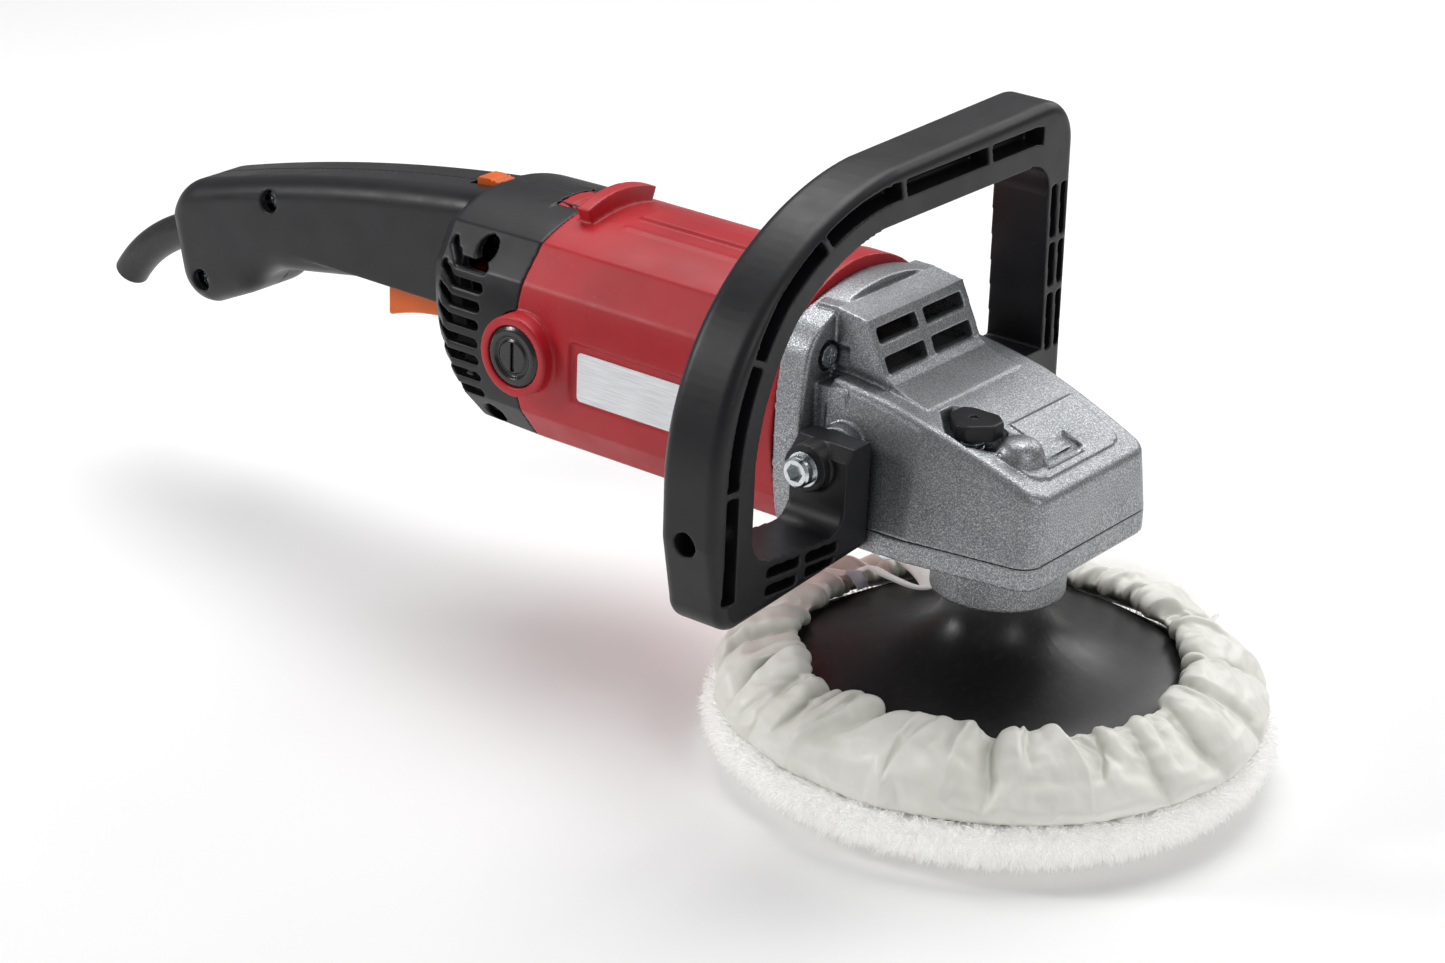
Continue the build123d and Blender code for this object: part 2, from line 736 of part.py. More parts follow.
with BuildPart() as gear_housing:
    with BuildSketch(Plane.XY.offset(cover_top)):
        add(nose_outline(0, 35))
    with BuildSketch(Plane.XY.offset(140)):
        add(nose_outline(8.8, 34))
    loft(ruled=True)
    with BuildSketch(side):
        with BuildLine():
            Line((-60, 60), (-60, 134.6))
            Line((-60, 134.6), (-46, 134.4))
            Spline((-46, 134.4), (-9.3, 128.2), (14.9, 120.6), (40, 110.2))
            Line((40, 110.2), (40, 60))
            Line((40, 60), (-60, 60))
        make_face()
    extrude(amount=60, both=True, mode=Mode.INTERSECT)
    top_edges = edges().filter_by(lambda e: e.center().Z > 105 and not e.is_closed and e.center().X > -40)
    fillet(top_edges, 4.0)
    # flange, squared off towards its corners
    with BuildSketch(station(flange_x)):
        add(flange_outline())
    extrude(amount=11)
    flange_front = gear_housing.edges().filter_by(lambda e: abs(e.center().X - flange_x - 11) < 0.01)
    fillet(flange_front.filter_by(lambda e: e.length > 8), 1.2)
    # link between the flange and the nose, down to the cover
    with BuildSketch(side):
        with BuildLine():
            Polyline([(-55, 70), (-52, 70), (-47.1, cover_bottom), (-47.1, cover_top), (-40, cover_top),
                      (-40, 134),
                      (-55, 134)], close=True)
        make_face()
    extrude(amount=30, both=True)
    with BuildSketch(side):
        with BuildLine():
            Polyline([(-55, 92), (-40, cover_top), (-40, 132), (-55, 132)], close=True)
        make_face()
    extrude(amount=38, both=True)
    # outlet vent block
    with BuildSketch(side):
        with BuildLine():
            Polyline([(-60, 125), (-26.5, 125), (-29.3, 131), (-40, 154), (-52, 156),
                      (-60, 156)], close=True)
        make_face()
    extrude(amount=28, both=True)
    # seats of the loop handle
    for hand in (1, -1):
        with BuildSketch(slice_plane(hand * 36)):
            with Locations((bolt_x, motor_z)):
                Circle(9)
        extrude(amount=-hand * (lug_y - 36))
    # rear boss of the front bearing
    with BuildSketch(station(-66)):
        Circle(22)
    extrude(amount=10)
    # dome on top
    with BuildSketch(slice_plane(-18.5)):
        with BuildLine():
            Line((16, 112), (16, 126))
            Spline((16, 126), (22, 124.4), (24.6, 119), tangents=((1, 0), (0.1, -1)))
            Line((24.6, 119), (24.6, 112))
            Line((24.6, 112), (16, 112))
        make_face()
    revolve(axis=Axis((16, -18.5, 0), (0, 0, 1)))
    # air duct and its windows
    with BuildSketch(side):
        with BuildLine():
            Polyline([(-70, 134.8), (-35, 134.8), (-42.6, 151.6), (-70, 151.6)], close=True)
        make_face()
    extrude(amount=24.5, both=True, mode=Mode.SUBTRACT)
    for low, high in (window_low, window_high):
        for hand in (1, -1):
            with BuildSketch(across(-46)):
                with Locations((hand * 13.3, (low + high) / 2)):
                    RectangleRounded(22.6, high - low, 1.0)
            extrude(amount=30, mode=Mode.SUBTRACT)
    # gear chambers, each with its bearing seat
    for x, points in (
        (0.0, [(0, cover_top - 3), (30, cover_top - 3), (30, 103.4), (13, 103.4), (13, upper_high),
               (0, upper_high)]),
        (lay_x, [(0, cover_top - 4), (20, cover_top - 4), (20, 110.6), (6.5, 110.6), (6.5, lay_top_low),
                 (11, lay_top_low),
                 (11, lay_top_low + 7), (0, lay_top_low + 7)]),
    ):
        with BuildSketch(side):
            with BuildLine():
                Polyline([(x + r, z) for r, z in points], close=True)
            make_face()
        revolve(axis=Axis((x, 0, 0), (0, 0, 1)), mode=Mode.SUBTRACT)
    with BuildSketch(side):
        with BuildLine():
            Polyline([(-70, motor_z), (-70, motor_z + 16), (-56, motor_z + 16), (-56, motor_z + 12.6),
                      (-38, motor_z + 12.6),
                      (-38, motor_z)], close=True)
        make_face()
    revolve(axis=motor_axis, mode=Mode.SUBTRACT)
    # spindle-lock pocket and pin bore
    with BuildSketch(Plane.XY.offset(pocket_floor)):
        with Locations((button_x, button_y)):
            add(button_shield(1.3))
    extrude(amount=20, mode=Mode.SUBTRACT)
    with BuildSketch(Plane.XY.offset(100)):
        with Locations((0, button_y)):
            Circle(2.55)
    extrude(amount=25, mode=Mode.SUBTRACT)
    with BuildSketch(Plane.XY.offset(pocket_floor - 7)):
        with Locations((0, button_y)):
            Circle(4.8)
    extrude(amount=10, mode=Mode.SUBTRACT)
    # screw pockets and holes in the flange
    with BuildSketch(station(-54)):
        with Locations(screw_spots):
            Circle(5.2)
    extrude(amount=8, mode=Mode.SUBTRACT)
    with BuildSketch(station(flange_x - 4)):
        with Locations(screw_spots):
            Circle(2.2)
        with PolarLocations(18.6, 3):
            Circle(1.5)
    extrude(amount=15, mode=Mode.SUBTRACT)
    # threaded bores for the cover screws
    with BuildSketch(Plane.XY.offset(cover_top - 1)):
        with Locations(cover_screw_spots):
            Circle(2.05)
    extrude(amount=10, mode=Mode.SUBTRACT)
    # threaded bores for the loop handle's bolts
    for hand in (1, -1):
        with BuildSketch(slice_plane(hand * 28)):
            with Locations((bolt_x, motor_z)):
                Circle(4.0)
        extrude(amount=-hand * 20, mode=Mode.SUBTRACT)
finish(gear_housing, "gear_housing")

# ================= gear cover =================
with BuildPart() as gear_cover:
    with BuildSketch(Plane.XY.offset(cover_bottom)):
        add(nose_outline(0, 35))
    extrude(amount=cover_top - cover_bottom)
    with BuildSketch(Plane.XY.offset(collar_bottom)):
        Circle(collar_r)
    extrude(amount=cover_bottom - collar_bottom)
    for points, x in (
        ([(0, 60), (11.2, 60), (11.2, spindle_bearing_low), (17.5, spindle_bearing_low), (17.5, 78.2),
          (22, 78.2),
          (22, 95), (0, 95)], 0.0),
        ([(0, lay_low), (9.5, lay_low), (9.5, 95), (0, 95)], lay_x),
    ):
        with BuildSketch(side):
            with BuildLine():
                Polyline([(x + r, z) for r, z in points], close=True)
            make_face()
        revolve(axis=Axis((x, 0, 0), (0, 0, 1)), mode=Mode.SUBTRACT)
    with BuildSketch(Plane.XY.offset(cover_bottom - 1)):
        with Locations(cover_screw_spots):
            Circle(2.1)
    extrude(amount=10, mode=Mode.SUBTRACT)
finish(gear_cover, "gear_cover")

with BuildPart() as cover_screws:
    with BuildSketch(Plane.XY.offset(cover_bottom - 2.6)):
        with Locations(cover_screw_spots):
            Circle(3.6)
            Rectangle(5, 0.9, mode=Mode.SUBTRACT)
            Rectangle(0.9, 5, mode=Mode.SUBTRACT)
    extrude(amount=1.5)
    with BuildSketch(Plane.XY.offset(cover_bottom - 1.1)):
        with Locations(cover_screw_spots):
            Circle(3.6)
    extrude(amount=1.1)
    with BuildSketch(Plane.XY.offset(cover_bottom)):
        with Locations(cover_screw_spots):
            Circle(2.0)
    extrude(amount=cover_top - cover_bottom + 8.5)
finish(cover_screws, "cover_screws")

with BuildPart() as housing_screws:
    with BuildSketch(station(-54)):
        with Locations(screw_spots):
            Circle(4.0)
    extrude(amount=1.4)
    with BuildSketch(station(-52.6)):
        with Locations(screw_spots):
            Circle(4.0)
            Rectangle(5.2, 1.0, mode=Mode.SUBTRACT)
            Rectangle(1.0, 5.2, mode=Mode.SUBTRACT)
    extrude(amount=1.4)
    with BuildSketch(station(-76)):
        with Locations(screw_spots):
            Circle(2.0)
    extrude(amount=22)
finish(housing_screws, "housing_screws")

# ================= spindle lock =================
button_low = pocket_floor + button_travel + 0.3
with BuildPart() as lock_button:
    with BuildSketch(Plane.XY.offset(button_low)):
        with Locations((button_x, button_y)):
            add(button_shield())
    extrude(amount=5.4)
    fillet(lock_button.faces().sort_by(Axis.Z)[-1].edges(), 1.0)
    with BuildSketch(Plane.XY.offset(button_low - 1)):
        with Locations((0, button_y)):
            Circle(1.6)
    extrude(amount=8, mode=Mode.SUBTRACT)
finish(lock_button, "lock_button")

with BuildPart() as lock_pin:
    with BuildSketch(Plane.XY.offset(101.4)):
        with Locations((0, button_y)):
            Circle(2.5)
    extrude(amount=button_low - 101.4)
    with BuildSketch(Plane.XY.offset(button_low)):
        with Locations((0, button_y)):
            Circle(1.6)
    extrude(amount=4.6)
finish(lock_pin, "lock_pin")

spring_low = pocket_floor - 6.9
lock_spring = coil(3.6, 0.45, (button_low - spring_low - 1.1) / 5, 5, (0, button_y, spring_low + 0.5),
                   (0, 0, 1))
finish(lock_spring, "lock_spring")

# ================= rear handle =================
grip_half = 19.0
cord_r = 3.7
boot_r = 6.9
bell_lean = 0.22         # forward lean of the bell's rear, as a slope
belly_z = 107.6          # underside of the grip at the trigger
trigger_pivot = (-238.0, 114.0)
slide_x = -224.5


def grip_profile(inset=0.0):
    """Side outline of the grip, from the bell to the hook at its rear end, drawn in by inset."""
    start = bell_x - 12
    with BuildSketch() as outline:
        with BuildLine():
            back = ThreePointArc((start, 155.8), (-280, 143.8), (-364, 124))
            TangentArc((-364, 124), (-378.5, 108), tangent=back % 1)
            Line((-378.5, 108), (-373.5, 86))
            ThreePointArc((-373.5, 86), (-366.5, 76.8), (-356, 75.6))
            Line((-356, 75.6), (-340, 83))
            lip = TangentArc((-340, 83), (-332, 89.5), tangent=(16, 7.4))
            TangentArc((-332, 89.5), (-317, 98.4), tangent=lip % 1)
            Line((-317, 98.4), (-264, belly_z))
            Line((-264, belly_z), (start, belly_z))
            Line((start, belly_z), (start, 155.8))
        make_face()
        if inset:
            offset(amount=-inset, mode=Mode.REPLACE)
    return outline.sketch


def leaning_station(x):
    """Plane across the motor axis at x that leans forward towards the bottom, like the rear of the bell."""
    return Plane(origin=(x, 0, motor_z), x_dir=(0, 1, 0), z_dir=(1, 0, bell_lean))


def handle_body(inset, rounding):
    """Solid bell and grip, drawn in by inset on every side."""
    half = grip_half - inset
    bell_back = -208.5 + inset
    with BuildPart() as body:
        with BuildSketch(side):
            add(grip_profile(inset))
        extrude(amount=half, both=True)
        side_edges = body.edges().filter_by(lambda e: abs(abs(e.center().Y) - half) < 0.01)
        long_edges = side_edges.filter_by(lambda e: e.center().X < -195)
        hidden_edges = [e for e in long_edges if abs(e.center().Z - belly_z) < 4 and e.center().X > -235]
        fillet([e for e in long_edges if e not in hidden_edges], rounding)
        with BuildSketch(station(bell_x)):
            add(housing_outline(inset))
        with BuildSketch(leaning_station(bell_back)):
            add(housing_outline(inset))
        loft(ruled=True)
        for near, far, near_inset, far_inset in ((0, 6, 0, 4), (6, 15, 4, 20)):
            with BuildSketch(leaning_station(bell_back - near)):
                add(housing_outline(inset + near_inset))
            with BuildSketch(leaning_station(bell_back - far)):
                add(housing_outline(inset + far_inset))
            loft()
    return body


def boot_sweep(radius):
    """Round bar along the path of the cord boot."""
    with BuildPart() as bar:
        with BuildLine(side) as path:
            Spline((-366, 101.2), (-378, 98.2), (-390, 93.4), (-405.5, 83.6), (-418, 70))
        with BuildSketch(Plane(origin=path.line @ 0, z_dir=path.line % 0)):
            Circle(radius)
        sweep()
    return bar


outer_handle = handle_body(0.0, 9.0)
inner_handle = handle_body(wall, 6.0)
slot_count = 8
slot_gap = 6.6
slot_width = 3.4
slot_top = 24.0
slot_front = -194.5      # front end, bend and rear end of the slots
slot_bend = -206.0
slot_back = -213.0
slot_rise = 6.0
handle_screw_spots = [(-197, 142.6), (-193.0, 81.6), (-322.5, 126), (-359.5, 85.4)]    # X and Z
screw_head_y = 12.0
trigger_slot = (-273.0, -241.0)

with BuildPart() as handle_shell:
    add(outer_handle.part)
    add(inner_handle.part, mode=Mode.SUBTRACT)
    # open front that takes the housing's tongue, with the groove of its bead
    with BuildSketch(station(-189)):
        Circle(43.3)
    extrude(amount=20, mode=Mode.SUBTRACT)
    # room for the round brush bosses
    for hand in (1, -1):
        with BuildSketch(slice_plane(hand * 36)):
            with Locations((brush_x, motor_z)):
                Circle(boss_r + 0.15)
        extrude(amount=-hand * 20, mode=Mode.SUBTRACT)
        # inlet slots that run back along the side and bend up over the rear shoulder
        for i in range(slot_count):
            height = motor_z + slot_top - i * slot_gap
            rise = slot_rise * (1 - i / slot_count)
            with BuildSketch(slice_plane(hand * 30)):
                with Locations(((slot_front + slot_bend) / 2, height)):
                    SlotOverall(slot_front - slot_bend + slot_width, slot_width)
                with BuildLine():
                    Polyline([(slot_bend, height - slot_width / 2), (slot_bend, height + slot_width / 2),
                              (slot_back, height + slot_width / 2 + rise),
                              (slot_back, height - slot_width / 2 + rise)],
                             close=True)
                make_face()
            extrude(amount=-hand * 20, mode=Mode.SUBTRACT)
    # screw bosses
    with BuildSketch(slice_plane(16.5)):
        with Locations(handle_screw_spots[2:]):
            Circle(4.6)
    extrude(amount=33)
    with BuildSketch(slice_plane(29)):
        with Locations(handle_screw_spots[:2]):
            Circle(4.6)
    extrude(amount=58)
    # bearings of the trigger's pin
    for hand in (1, -1):
        with BuildSketch(slice_plane(hand * 9.3)):
            with Locations(trigger_pivot):
                Circle(3.6)
        extrude(amount=-hand * 7.4)
        with BuildSketch(slice_plane(hand * 9)):
            with Locations(trigger_pivot):
                Circle(1.52)
        extrude(amount=-hand * 6.45, mode=Mode.SUBTRACT)
    # openings for the trigger, the lock-on slide and the cord boot
    with BuildSketch(Plane.XY.offset(92)):
        with Locations(((trigger_slot[0] + trigger_slot[1]) / 2, 0)):
            Rectangle(trigger_slot[1] - trigger_slot[0], 17)
    extrude(amount=22, mode=Mode.SUBTRACT)
    with BuildSketch(Plane.XY.offset(146)):
        with Locations((slide_x - 1.5, 0)):
            Rectangle(17.5, 9.4)
    extrude(amount=12, mode=Mode.SUBTRACT)
    add(boot_sweep(boot_r + 0.15).part, mode=Mode.SUBTRACT)
    # screw bores and the recesses of their heads
    with BuildSketch(slice_plane(60)):
        with Locations(handle_screw_spots):
            Circle(1.9)
    extrude(amount=120, mode=Mode.SUBTRACT)
    with BuildSketch(slice_plane(-screw_head_y)):
        with Locations(handle_screw_spots):
            Circle(4.3)
    extrude(amount=60, mode=Mode.SUBTRACT)

with BuildPart() as rear_handle_right:
    add(handle_shell.part)
    split(bisect_by=Plane.XZ, keep=Keep.TOP)
finish(rear_handle_right, "rear_handle_right")

with BuildPart() as rear_handle_left:
    add(handle_shell.part)
    split(bisect_by=Plane.XZ, keep=Keep.BOTTOM)
finish(rear_handle_left, "rear_handle_left")

with BuildPart() as handle_screws:
    with BuildSketch(slice_plane(-screw_head_y - 1)):
        with Locations(handle_screw_spots):
            Circle(3.6)
            Rectangle(4.4, 0.9, mode=Mode.SUBTRACT)
            Rectangle(0.9, 4.4, mode=Mode.SUBTRACT)
    extrude(amount=1.4)
    with BuildSketch(slice_plane(-screw_head_y)):
        with Locations(handle_screw_spots):
            Circle(3.6)
    extrude(amount=1.0)
    with BuildSketch(slice_plane(8)):
        with Locations(handle_screw_spots):
            Circle(1.85)
    extrude(amount=8 + screw_head_y)
finish(handle_screws, "handle_screws")

# ================= switch, trigger and lock-on slide =================
with BuildPart() as trigger:
    with BuildSketch(side):
        with BuildLine():
            Line((-242.5, 96.6), (-242.5, 111.1))
            Line((-242.5, 111.1), (-235.4, 111.1))
            Line((-235.4, 111.1), (-235.4, 115.4))
            Line((-235.4, 115.4), (-240, 117.4))
            Line((-240, 117.4), (-270.8, 109.5))
            Line((-270.8, 109.5), (-270.8, 90.8))
            ThreePointArc((-270.8, 90.8), (-257, 94.8), (-242.5, 96.6))
        make_face()
    extrude(amount=7.9, both=True)
    trigger_sides = trigger.edges().filter_by(lambda e: abs(abs(e.center().Y) - 7.9) < 0.01)
    fillet(trigger_sides.filter_by(lambda e: e.center().Z < 98), 2.0)
    with BuildSketch(slice_plane(9)):
        with Locations(trigger_pivot):
            Circle(2.9)
    extrude(amount=18)
    with BuildSketch(slice_plane(10)):
        with Locations(trigger_pivot):
            Circle(1.5 + run)
    extrude(amount=20, mode=Mode.SUBTRACT)
finish(trigger, "trigger")

with BuildPart() as trigger_pin:
    with BuildSketch(slice_plane(15.4)):
        with Locations(trigger_pivot):
            Circle(1.5)
    extrude(amount=30.8)
finish(trigger_pin, "trigger_pin")

with BuildPart() as switch_body:
    with BuildSketch(side):
        with BuildLine():
            Polyline([(-274, 121), (-236, 121), (-236, 136), (-240, 141.5), (-274, 137)], close=True)
        make_face()
    extrude(amount=9.5, both=True)
    with BuildSketch(slice_plane(9.4)):
        with Locations((-266, 129)):
            Circle(2)
    extrude(amount=30, mode=Mode.SUBTRACT)
finish(switch_body, "switch_body")

with BuildPart() as lock_on_slide:
    with BuildSketch(side):
        with BuildLine():
            Polyline([(-230.4, 150.4), (-230.4, 153.4), (-229.6, 154.3), (-224.5, 154.6),
                      (-223.5, 153.9), (-222.6, 154.5),
                      (-221.6, 153.7), (-220.8, 154.2), (-219.4, 153.0), (-219.4, 150.4)], close=True)
        make_face()
    extrude(amount=4.5, both=True)
    with BuildSketch(side):
        with BuildLine():
            Polyline([(-228, 143), (-221, 143), (-221, 150.4), (-228, 150.4)], close=True)
        make_face()
    extrude(amount=3, both=True)
    with BuildSketch(Plane.XY.offset(144.8)):
        with Locations((-225.6, 0)):
            Rectangle(22, 13)
    extrude(amount=1.8)
finish(lock_on_slide, "lock_on_slide")

# ================= electrics in the grip =================
with BuildPart() as speed_module:
    with BuildSketch(side):
        with BuildLine():
            Polyline([(-308, 106), (-282, 110), (-282, 132), (-308, 126)], close=True)
        make_face()
    extrude(amount=11, both=True)
    fillet(speed_module.edges(), 1.0)
finish(speed_module, "speed_module")

with BuildPart() as capacitor:
    with BuildSketch(side):
        with Locations((-319.5, 107)):
            Rectangle(14, 3.4)
    extrude(amount=8, both=True)
finish(capacitor, "capacitor")

with BuildPart() as terminal_block:
    with BuildSketch(side):
        with Locations((-337, 118)):
            Rectangle(16, 12)
    extrude(amount=9, both=True)
    with BuildSketch(slice_plane(9)):
        with Locations((-341, 118), (-333, 118)):
            Circle(1.8)
    extrude(amount=18, mode=Mode.SUBTRACT)
finish(terminal_block, "terminal_block")

with BuildPart() as cord:
    with BuildLine(side) as cord_path:
        Spline((-344, 106), (-366, 101.2), (-378, 98.2), (-390, 93.4), (-405.5, 83.6), (-418.6, 69.3))
    with BuildSketch(Plane(origin=cord_path.line @ 0, z_dir=cord_path.line % 0)):
        Circle(cord_r)
    sweep()
finish(cord, "cord")

with BuildPart() as cord_boot:
    add(boot_sweep(boot_r).part)
    with BuildSketch(Plane(origin=(-371, 0, 100), z_dir=(1, 0, 0.25))):
        Circle(9)
    extrude(amount=3.5)
    add(cord.part, mode=Mode.SUBTRACT)
finish(cord_boot, "cord_boot")

with BuildPart() as cord_clamp:
    with BuildSketch(side):
        with Locations((-353, 111.2)):
            Rectangle(9, 4)
    extrude(amount=11.5, both=True)
finish(cord_clamp, "cord_clamp")

with BuildPart() as clamp_screws:
    with BuildSketch(Plane.XY.offset(113.2)):
        with Locations((-353, 8), (-353, -8)):
            Circle(3)
    extrude(amount=2.2)
finish(clamp_screws, "clamp_screws")

# ================= loop handle =================
loop_back = -46.5
loop_front = -24.0
leg_inner = ((55.5, 125.0), (52.5, 181.0))      # near foot and head of the straight leg's inner side


def loop_window(grow=0.0, grip_foot=None):
    """Opening that the loop frames, grown by grow; grip_foot runs the grip's side straight down to it."""
    with BuildSketch() as outline:
        with BuildLine():
            Line(leg_inner[0], leg_inner[1])
            ThreePointArc(leg_inner[1], (49.5, 190.5), (40, 194))
            Line((40, 194), (-37, 194))
            ThreePointArc((-37, 194), (-65, 188.9), (-88, 175.5))
            ThreePointArc((-88, 175.5), (-102.3, 152.5), (-107.5, 126))
            if grip_foot:
                Line((-107.5, 126), (-107.5, grip_foot))
                Line((-107.5, grip_foot), (57, grip_foot))
                Line((57, grip_foot), leg_inner[0])
            else:
                Line((-107.5, 126), (-107.5, 108))
                ThreePointArc((-107.5, 108), (-104, 99.5), (-96, 96.5))
                Line((-96, 96.5), (-66, 93.6))
                ThreePointArc((-66, 93.6), (-60, 96), (-58, 101.5))
                Line((-58, 101.5), (-58, 117))
                Line((-58, 117), (-54, 121))
                Line((-54, 121), (-40, 121))
                Line((-40, 121), (-40, 125))
                Line((-40, 125), leg_inner[0])
        make_face()
        if grow:
            offset(amount=grow, mode=Mode.REPLACE)
    return outline.sketch


with BuildPart() as side_handle:
    with BuildSketch(across(loop_back)):
        with BuildLine():
            Line((-44.9, 83), (-113, 77.5))
            ThreePointArc((-113, 77.5), (-119.5, 79.6), (-122.6, 86))
            Line((-122.6, 86), (-127, 108))
            Line((-127, 108), (-127.2, 126))
            Spline((-127.2, 126), (-121.5, 156), (-106, 180.5), (-81, 199.5), (-37, 212.2))
            Line((-37, 212.2), (50, 214.2))
            ThreePointArc((50, 214.2), (61.5, 210), (67, 198.5))
            Line((67, 198.5), (70, 101))
            Line((70, 101), (-44.9, 83))
        make_face()
        add(loop_window(), mode=Mode.SUBTRACT)
        with BuildLine():
            Polyline([(-44.9, 60), (44.9, 60), (44.9, 130), (-44.9, 130)], close=True)
        make_face(mode=Mode.SUBTRACT)
        with BuildLine():
            Polyline([(40, 60), (80, 60), (80, 101), (40, 101)], close=True)
        make_face(mode=Mode.SUBTRACT)
    extrude(amount=loop_front - loop_back)
    rims = side_handle.edges().filter_by(lambda e: abs(abs(e.tangent_at(0.5).X)) < 0.01)
    top_rims = [e for e in rims if e.center().Z > 203]
    left_rims = [e for e in rims if e.center().Z <= 203 and e.center().Y < -115]
    right_rims = [e for e in rims if e.center().Z <= 203 and e.center().Y > 62 and e.length > 15]
    fillet(top_rims + left_rims + right_rims, 4.0)
    # bosses under the bolt heads
    for hand, face, reach in ((-1, 58.0, 4.0), (1, 68.6, 2.0)):
        with BuildSketch(slice_plane(hand * (face - 4))):
            with Locations((bolt_x, motor_z)):
                Circle(8.2)
        extrude(amount=-hand * (reach + 4))
    # two rows of pockets along the grip and the top, parted by ribs
    with BuildSketch(across(loop_front)):
        for inner, outer in ((2.4, 5.4), (7.6, 13.6)):
            add(loop_window(outer, 60))
            add(loop_window(inner, 60), mode=Mode.SUBTRACT)
        with Locations((0, 70), (90, 150)):
            Rectangle(300, 36, mode=Mode.SUBTRACT)
        with Locations((97, 150)):
            Rectangle(100, 200, mode=Mode.SUBTRACT)
        for y, z, angle in ((-33.5, 202.5, 104), (14.5, 207, 100), (-73, 194.5, 130),
                            (-105, 164.8, 155), (-117, 125.2, 178)):
            with Locations((y, z)):
                Rectangle(34, 2.4, rotation=angle, mode=Mode.SUBTRACT)
    extrude(amount=-8, mode=Mode.SUBTRACT)
    # pockets of the straight leg
    leg_slope = (leg_inner[0][0] - leg_inner[1][0]) / (leg_inner[1][1] - leg_inner[0][1])
    leg_lean = math.degrees(math.atan(leg_slope))
    with BuildSketch(across(loop_front)):
        for z, length in ((134.5, 21), (155.5, 16), (175, 19)):
            y = leg_inner[0][0] - (z - leg_inner[0][1]) * math.tan(math.radians(leg_lean))
            with Locations((y + 3.9, z), (y + 9.6, z)):
                RectangleRounded(3.6, length, 1.2, rotation=leg_lean)
    extrude(amount=-8, mode=Mode.SUBTRACT)
    # pockets of the lower arm
    with BuildSketch(across(loop_front)):
        with Locations((-90, 91.6), (-69.5, 90.0)):
            RectangleRounded(17.5, 3.4, 1.2, rotation=-4.5)
        with Locations((-91, 85.6), (-70, 85.0)):
            RectangleRounded(16.5, 3.4, 1.2, rotation=-4.5)
    extrude(amount=-8, mode=Mode.SUBTRACT)
    # blind hole low on the outer side
    with BuildSketch(slice_plane(-132)):
        with Locations((-36, 108)):
            Circle(4.2)
    extrude(amount=-14, mode=Mode.SUBTRACT)
    # bolt bores
    with BuildSketch(slice_plane(80)):
        with Locations((bolt_x, motor_z)):
            Circle(4.3)
    extrude(amount=145, mode=Mode.SUBTRACT)
finish(side_handle, "side_handle")

# the two bolts that hold the loop, with their washers
washer_faces = ((-1, 62.0), (1, 70.6))
with BuildPart() as handle_washers:
    for hand, face in washer_faces:
        washer = turned_y([(4.2, hand * face), (6, hand * face), (6, hand * (face + 1)),
                           (4.2, hand * (face + 1))],
                          bolt_x, motor_z)
        add(washer.part)
finish(handle_washers, "handle_washers")

with BuildPart() as handle_bolts:
    for hand, face in washer_faces:
        seat = face + 1
        bolt = turned_y([(0, hand * 29), (3.95, hand * 29), (3.95, hand * seat), (5.2, hand * seat),
                         (5.2, hand * (seat + 3.4)), (4.4, hand * (seat + 4.2)), (0, hand * (seat + 4.2))],
                        bolt_x, motor_z)
        add(bolt.part)
        with BuildSketch(slice_plane(hand * (seat + 4.2))):
            with Locations((bolt_x, motor_z)):
                RegularPolygon(3.2, 6)
        extrude(amount=hand * 3.0, mode=Mode.SUBTRACT)
finish(handle_bolts, "handle_bolts")
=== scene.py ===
import json
import math
import random

import bpy
import bmesh
import numpy as np
from mathutils import Matrix, Vector, noise

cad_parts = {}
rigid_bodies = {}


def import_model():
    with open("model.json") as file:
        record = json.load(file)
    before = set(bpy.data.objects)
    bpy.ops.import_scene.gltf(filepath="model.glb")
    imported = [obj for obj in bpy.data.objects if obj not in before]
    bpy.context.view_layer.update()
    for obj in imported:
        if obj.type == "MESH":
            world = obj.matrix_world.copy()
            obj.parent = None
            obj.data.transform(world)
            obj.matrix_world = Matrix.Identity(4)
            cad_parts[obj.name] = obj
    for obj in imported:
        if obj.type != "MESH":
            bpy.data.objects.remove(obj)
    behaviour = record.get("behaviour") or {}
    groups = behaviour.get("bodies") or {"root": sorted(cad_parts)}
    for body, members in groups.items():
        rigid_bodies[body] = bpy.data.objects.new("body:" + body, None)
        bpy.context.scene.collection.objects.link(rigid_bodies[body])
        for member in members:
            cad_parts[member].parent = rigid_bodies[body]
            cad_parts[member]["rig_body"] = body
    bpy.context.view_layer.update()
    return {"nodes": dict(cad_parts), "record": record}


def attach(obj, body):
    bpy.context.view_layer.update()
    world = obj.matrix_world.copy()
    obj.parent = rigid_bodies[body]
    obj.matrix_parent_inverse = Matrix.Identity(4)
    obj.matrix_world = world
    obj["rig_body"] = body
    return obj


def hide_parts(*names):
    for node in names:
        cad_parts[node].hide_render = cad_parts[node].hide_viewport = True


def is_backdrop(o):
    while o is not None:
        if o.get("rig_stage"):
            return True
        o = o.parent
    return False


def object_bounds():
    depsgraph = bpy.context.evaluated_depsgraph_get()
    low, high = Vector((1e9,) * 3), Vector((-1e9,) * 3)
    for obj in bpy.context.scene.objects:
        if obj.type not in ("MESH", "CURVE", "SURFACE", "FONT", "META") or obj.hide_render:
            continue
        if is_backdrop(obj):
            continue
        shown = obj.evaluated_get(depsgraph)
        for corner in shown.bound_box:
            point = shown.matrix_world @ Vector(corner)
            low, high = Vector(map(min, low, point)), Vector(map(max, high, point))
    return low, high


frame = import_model()
nodes = frame["nodes"]
MM = 0.001
body_of_node = {n: o["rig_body"] for n, o in nodes.items()}


